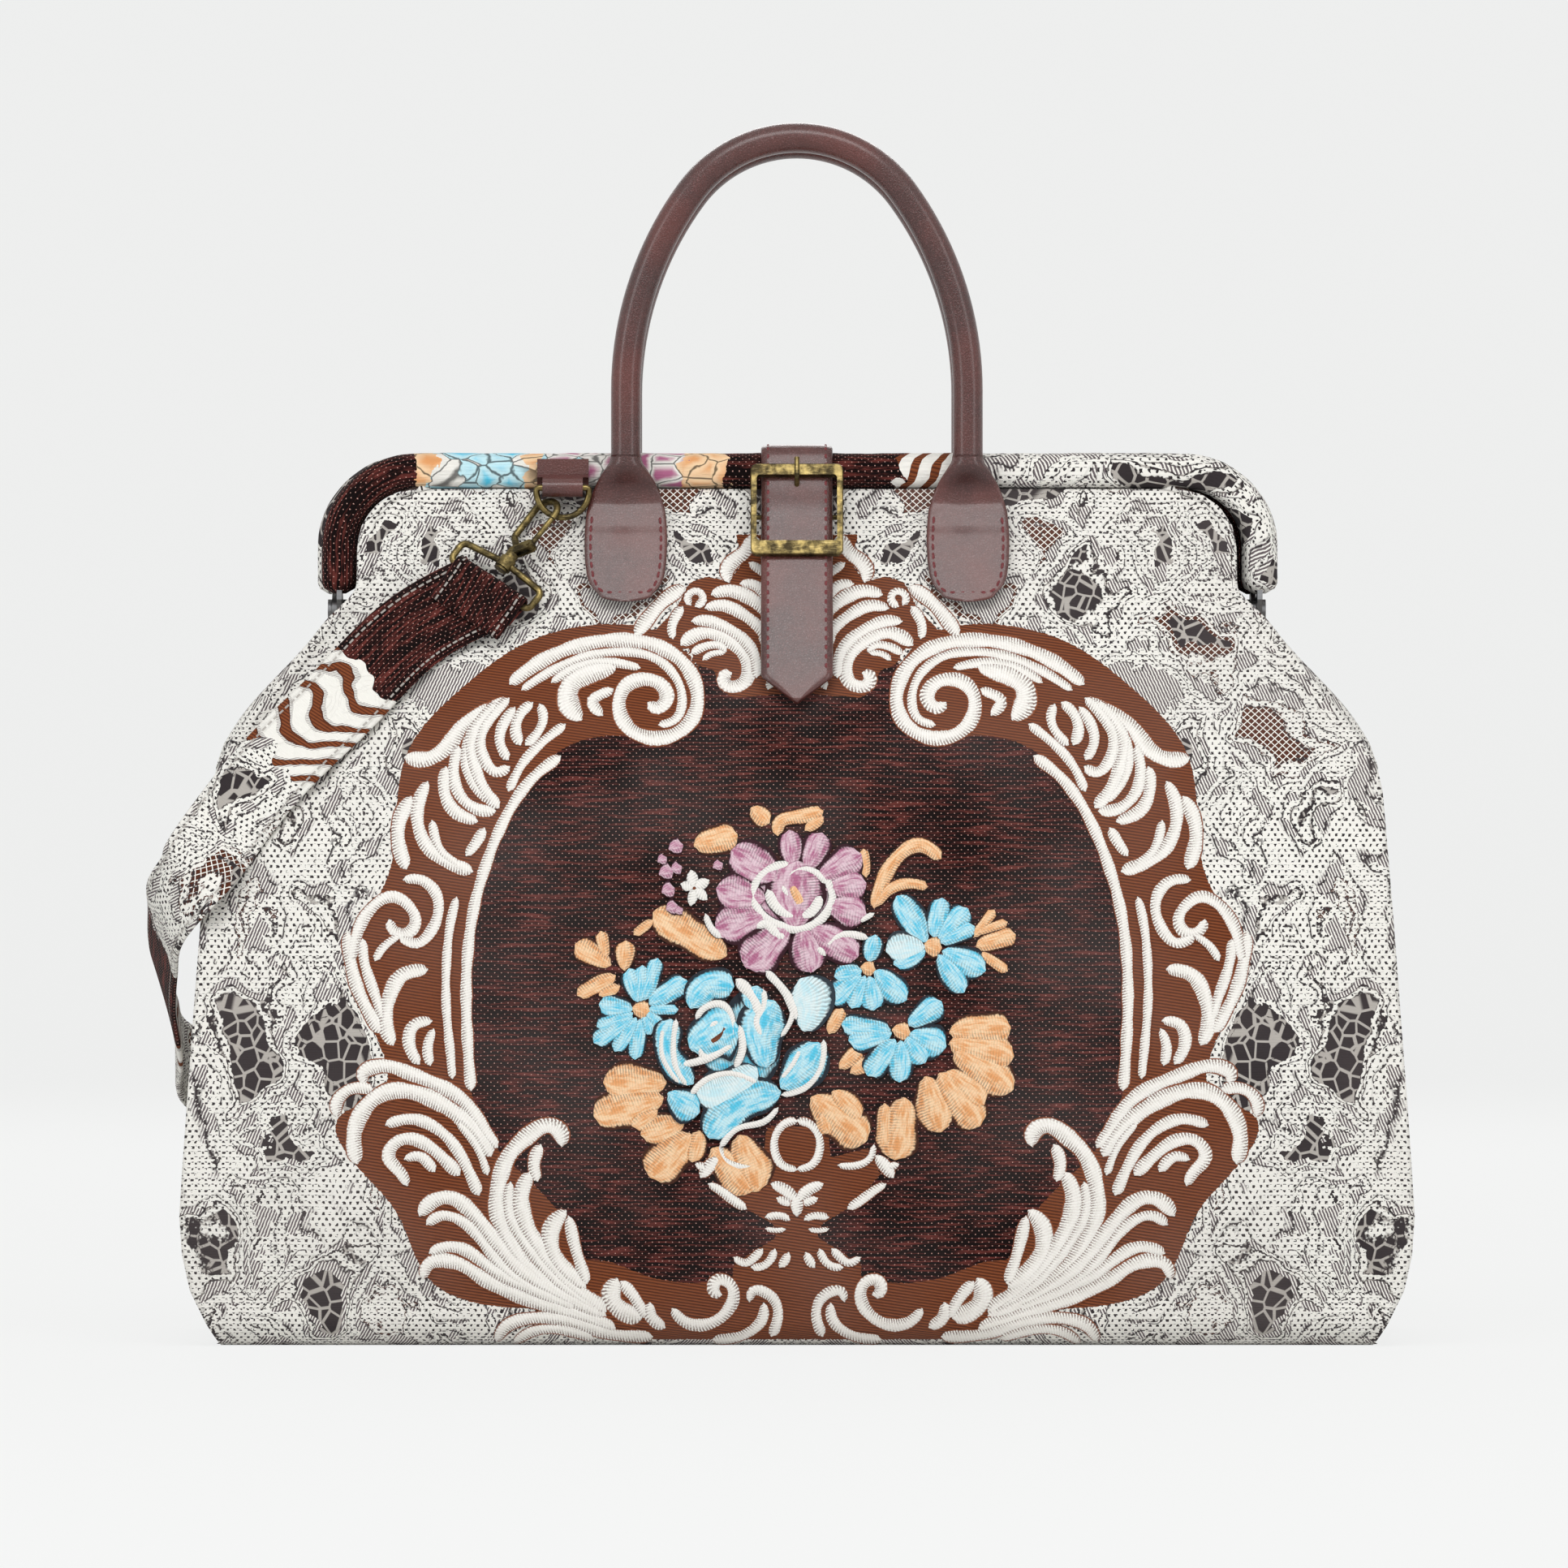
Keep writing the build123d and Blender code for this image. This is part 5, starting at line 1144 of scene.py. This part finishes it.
# shoulder strap: one strip of the same cloth, hung between the two bails
strap = {
    "wide": 36.0, "thick": 2.6, "step": 3.0, "seam": 15.2, "turnAt": (-272, 0, 152),
    "up": (0.57358, 0.30726, 0.75934), "side": (0.81915, -0.21515, -0.5317), "bar": (-131.117, -36.813, 321.756),
    # where the pile and the scrolls lie along the strip, from the front bail
    "dark": [(-100, 62), (232, 300), (900, 990)], "scrolled": [(62, 118), (300, 330)],
    # places along the strip, each with its direction across
    "stations": [
        ((-164.8, -41, 301), (0.707, -0.25, -0.66)), ((-192, -50, 273.6), (0.7, -0.25, -0.66)),
        ((-219.6, -60, 246.2), (0.71, -0.27, -0.65)), ((-243, -66, 217), (0.72, -0.3, -0.62)),
        ((-256, -76, 198), (0.55, -0.45, -0.7)), ((-267, -65, 184), (0.42, -0.5, -0.75)),
        ((-270, -40, 172), (0.35, -0.5, -0.79)), ((-272, 0, 152), (0.3, -0.5, -0.81)),
        ((-268, 44, 130), (0.1, -0.4, -0.91)), ((-264, 98, 113), (-0.05, -0.15, -0.98)),
        ((-232, 108, 98), (-0.15, 0, -0.99)), ((-180, 108, 72), (-0.3, 0, -0.95)),
        ((-110, 110, 56), (-0.15, 0, -0.99)), ((-30, 110, 52), (0, 0, -1)), ((50, 109, 66), (0.25, 0, -0.97)),
        ((115, 107, 100), (0.65, 0, -0.75)), ((158, 101, 148), (0.89, 0, -0.45)),
        ((178, 82, 210), (1, 0, -0.05)), ((172, 61, 262), (0.95, -0.05, 0.3)),
        ((155, 47, 296), (0.88, -0.15, 0.45)),
    ],
}
up, barSide, bar = (np.array(strap[k]) for k in ("up", "side", "bar"))
start = bar - up * 4.0
stations = [(start, barSide)] + strap["stations"] + [(start * [-1, -1, 1], barSide * [1, 1, -1])]
both = smoothLine([(*place, *(60 * side for side in sides)) for place, sides in stations], strap["step"])[0]
middles, across = both[:, :3], both[:, 3:]
run = runAlong(middles)


def buildStrapCloth(s):
    u, v = s.onCloth()
    wavy = (s.noise(s.place(u * 0.06, v * 0.06)) - 0.5) * 40.0
    ground, height = laceColour(s, u + 31.0, v)
    pile, pileHeight = pileColour(s, v, u)
    bend = (u * 0.13 + v * 0.045).sine() * 7.5 + u * 0.35
    stripe = abs(((v + bend + wavy * 0.3) / 13.0).fract() - 0.5)
    scroll = (stripe > 0.15).mixed(satinColour(s, u, v)[0], yarn["cream"])
    lines = ((v * 0.8 + u * 1.1).fract() < 0.5) * (stripe > 0.15) * (stripe < 0.27)
    scroll = (lines * 0.7).mixed(scroll, yarn["hatchDark"])
    scroll = ((stripe > 0.125) * (stripe < 0.165)).mixed(scroll, yarn["umber"])
    where = v + wavy
    dark, scrolled = [functools.reduce(Strand.most, [(where > low) * (where < high) for low, high in strap[part]])
                      for part in ("dark", "scrolled")]
    colour = scrolled.mixed(ground, scroll)
    colour = dark.mixed(colour, pile)
    # topstitching along both edges
    beside = abs(abs(u) - strap["seam"])
    stitch = (beside < 0.45) * ((v / 3.4).fract() < 0.66)
    colour = (stitch * 0.9).mixed(colour, yarn["creamShade"])
    dip = 1 - beside.fade(0.0, 1.6)
    height = height * 0.6 + pileHeight * dark * 0.5 - dip * 1.3 + stitch * 0.8 + ribbed(s, v)
    return {"Base Color": colour, "Height": (height, 0.6, 0.0011)}


strapCloth = makeMaterial("strapCloth", buildStrapCloth, **clothFixed)
cut = int(np.argmin(np.linalg.norm(middles - np.array(strap["turnAt"]), axis=1)))
for side, part in (("front", slice(0, cut + 1)), ("rear", slice(cut, None))):
    made = bandPiece(side + "ShoulderStrap", middles[part], across[part], strap["wide"], strap["thick"],
                     [strapCloth], across=16, uvShift=run[part.start or 0])[0]
    if side == "front":
        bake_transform(made)
        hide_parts("shoulder_strap")
    else:
        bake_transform(made)
# the strip's ends wrap round the bails
sleeve = {"radius": 3.3, "from": -0.30, "to": 1.30, "count": 26, "thick": 1.9, "narrower": 0.3, "tails": (8, 4)}
angles = np.linspace(sleeve["from"] * math.pi, sleeve["to"] * math.pi, sleeve["count"])
normal = np.cross(barSide, up)
loop = [bar + up * (sleeve["radius"] * math.sin(a)) + normal * (sleeve["radius"] * math.cos(a)) for a in angles]
outer, inner = [[bar + up * (-3.2 - 2.2 * k) + normal * (hand * (1.9 - 0.25 * k)) for k in range(count)]
                for hand, count in zip((1, -1), sleeve["tails"])]
path = np.array(outer[::-1] + loop + inner)
for side, turn in bothSides:
    made = bandPiece(side + "StrapSleeve", turn(path), turn(np.tile(barSide, (len(path), 1))),
                     strap["wide"] - sleeve["narrower"], sleeve["thick"], [strapCloth])[0]
    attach(made, side + "_frame")
print("stage: shoulder strap")

# pieces that keep their exact form get their finish
finishes = {"handle": leather, "ring_keeper": leather, "frame_bar": steel, "hinge_pin": steel,
            "base_board": boardFinish}
for ending in ("d_ring", "hook", "gate", "bail", "buckle_frame", "buckle_prong", "snap_stud", "snap_socket"):
    finishes[ending] = antiqueBrass
for name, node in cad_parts.items():
    for ending, material in finishes.items():
        if name.endswith(ending):
            node.data.materials.clear()
            node.data.materials.append(material)
            node.data.polygons.foreach_set("use_smooth", [True] * len(node.data.polygons))
print("stage: finishes")


# floor, backdrop, light and camera
def shown(s):  # 1 for rays that see the backdrop straight or in metal
    seen, glossy, through = (s.node("ShaderNodeLightPath", {}, {}, name) for name in
                             ("Is Camera Ray", "Is Glossy Ray", "Is Transmission Ray"))
    return seen.most(glossy).most(through)


def buildPale(s):
    visible = shown(s)
    return {"Base Color": visible.mixed(rgb(236, 237, 236), rgb(86, 86, 86)),
            "Emission Color": visible.mixed((0.0, 0.0, 0.0), (0.81, 0.815, 0.81))}


pale = makeMaterial("paleGround", buildPale, Roughness=0.9, Specular_IOR_Level=0.0, Emission_Strength=1.0)
stage = {"wide": 50.0, "front": -25.0, "back": 8.5, "high": 12.0, "round": 3.0}  # in metres
corner = stage["round"]
sweep = [(stage["front"], 0.0), (stage["back"] - corner, 0.0)]
sweep += [(stage["back"] - corner + corner * math.sin(a), corner - corner * math.cos(a))
          for a in np.linspace(0.05, math.pi / 2, 16)] + [(stage["back"], stage["high"])]
points = np.array([[x, y, z] for y, z in sweep for x in (-stage["wide"] / 2, stage["wide"] / 2)]) / mm
floor = makePiece("backdrop", points, gridFaces(len(sweep), 2), [pale])
world = bpy.data.worlds.new("soft")
bpy.context.scene.world = world
world.use_nodes = True
tree = world.node_tree
skyColour = shown(Strand(tree)).mixed(rgb(172, 173, 172), rgb(236, 237, 236))
tree.links.new(skyColour.out, tree.nodes["Background"].inputs["Color"])
tree.nodes["Background"].inputs["Strength"].default_value = 1.0
lights = {"top": ((0.0, -2.3, 2.75), (2.8, 1.3), 60), "left": ((-2.6, -2.4, 1.1), (0.9, 2.2), 22),
          "right": ((2.6, -2.2, 1.1), (0.9, 2.2), 18), "back": ((0.0, 3.0, 2.1), (2.6, 1.2), 34)}
target = Vector((0, 0, 0.22))
made = [floor]
for name, (place, size, power) in lights.items():
    data = bpy.data.lights.new(name, "AREA")
    data.shape, data.size, data.size_y, data.energy = "RECTANGLE", size[0], size[1], power
    lamp = bpy.data.objects.new(name, data)
    lamp.location = place
    lamp.rotation_euler = (target - Vector(place)).to_track_quat("-Z", "Y").to_euler()
    bpy.context.scene.collection.objects.link(lamp)
    made.append(lamp)
view = {"distance": 5.0, "middle": (-0.0055, 0.237), "belly": 0.09, "frameWide": 0.6607, "sensor": 36, "clip": 50}
camera = bpy.data.cameras.new("camera")
cameraObject = bpy.data.objects.new("camera", camera)
bpy.context.scene.collection.objects.link(cameraObject)
cameraObject.location = (view["middle"][0], -view["distance"], view["middle"][1])
cameraObject.rotation_euler = (math.pi / 2, 0, 0)
camera.lens = view["sensor"] * (view["distance"] - view["belly"]) / view["frameWide"]
camera.clip_end = view["clip"]
bpy.context.scene.camera = cameraObject
bpy.context.scene.view_settings.view_transform = "Standard"
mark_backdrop(*made)
size = {"before": [list(v) for v in cadBox], "after": [list(v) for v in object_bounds()]}
print("stage: done")
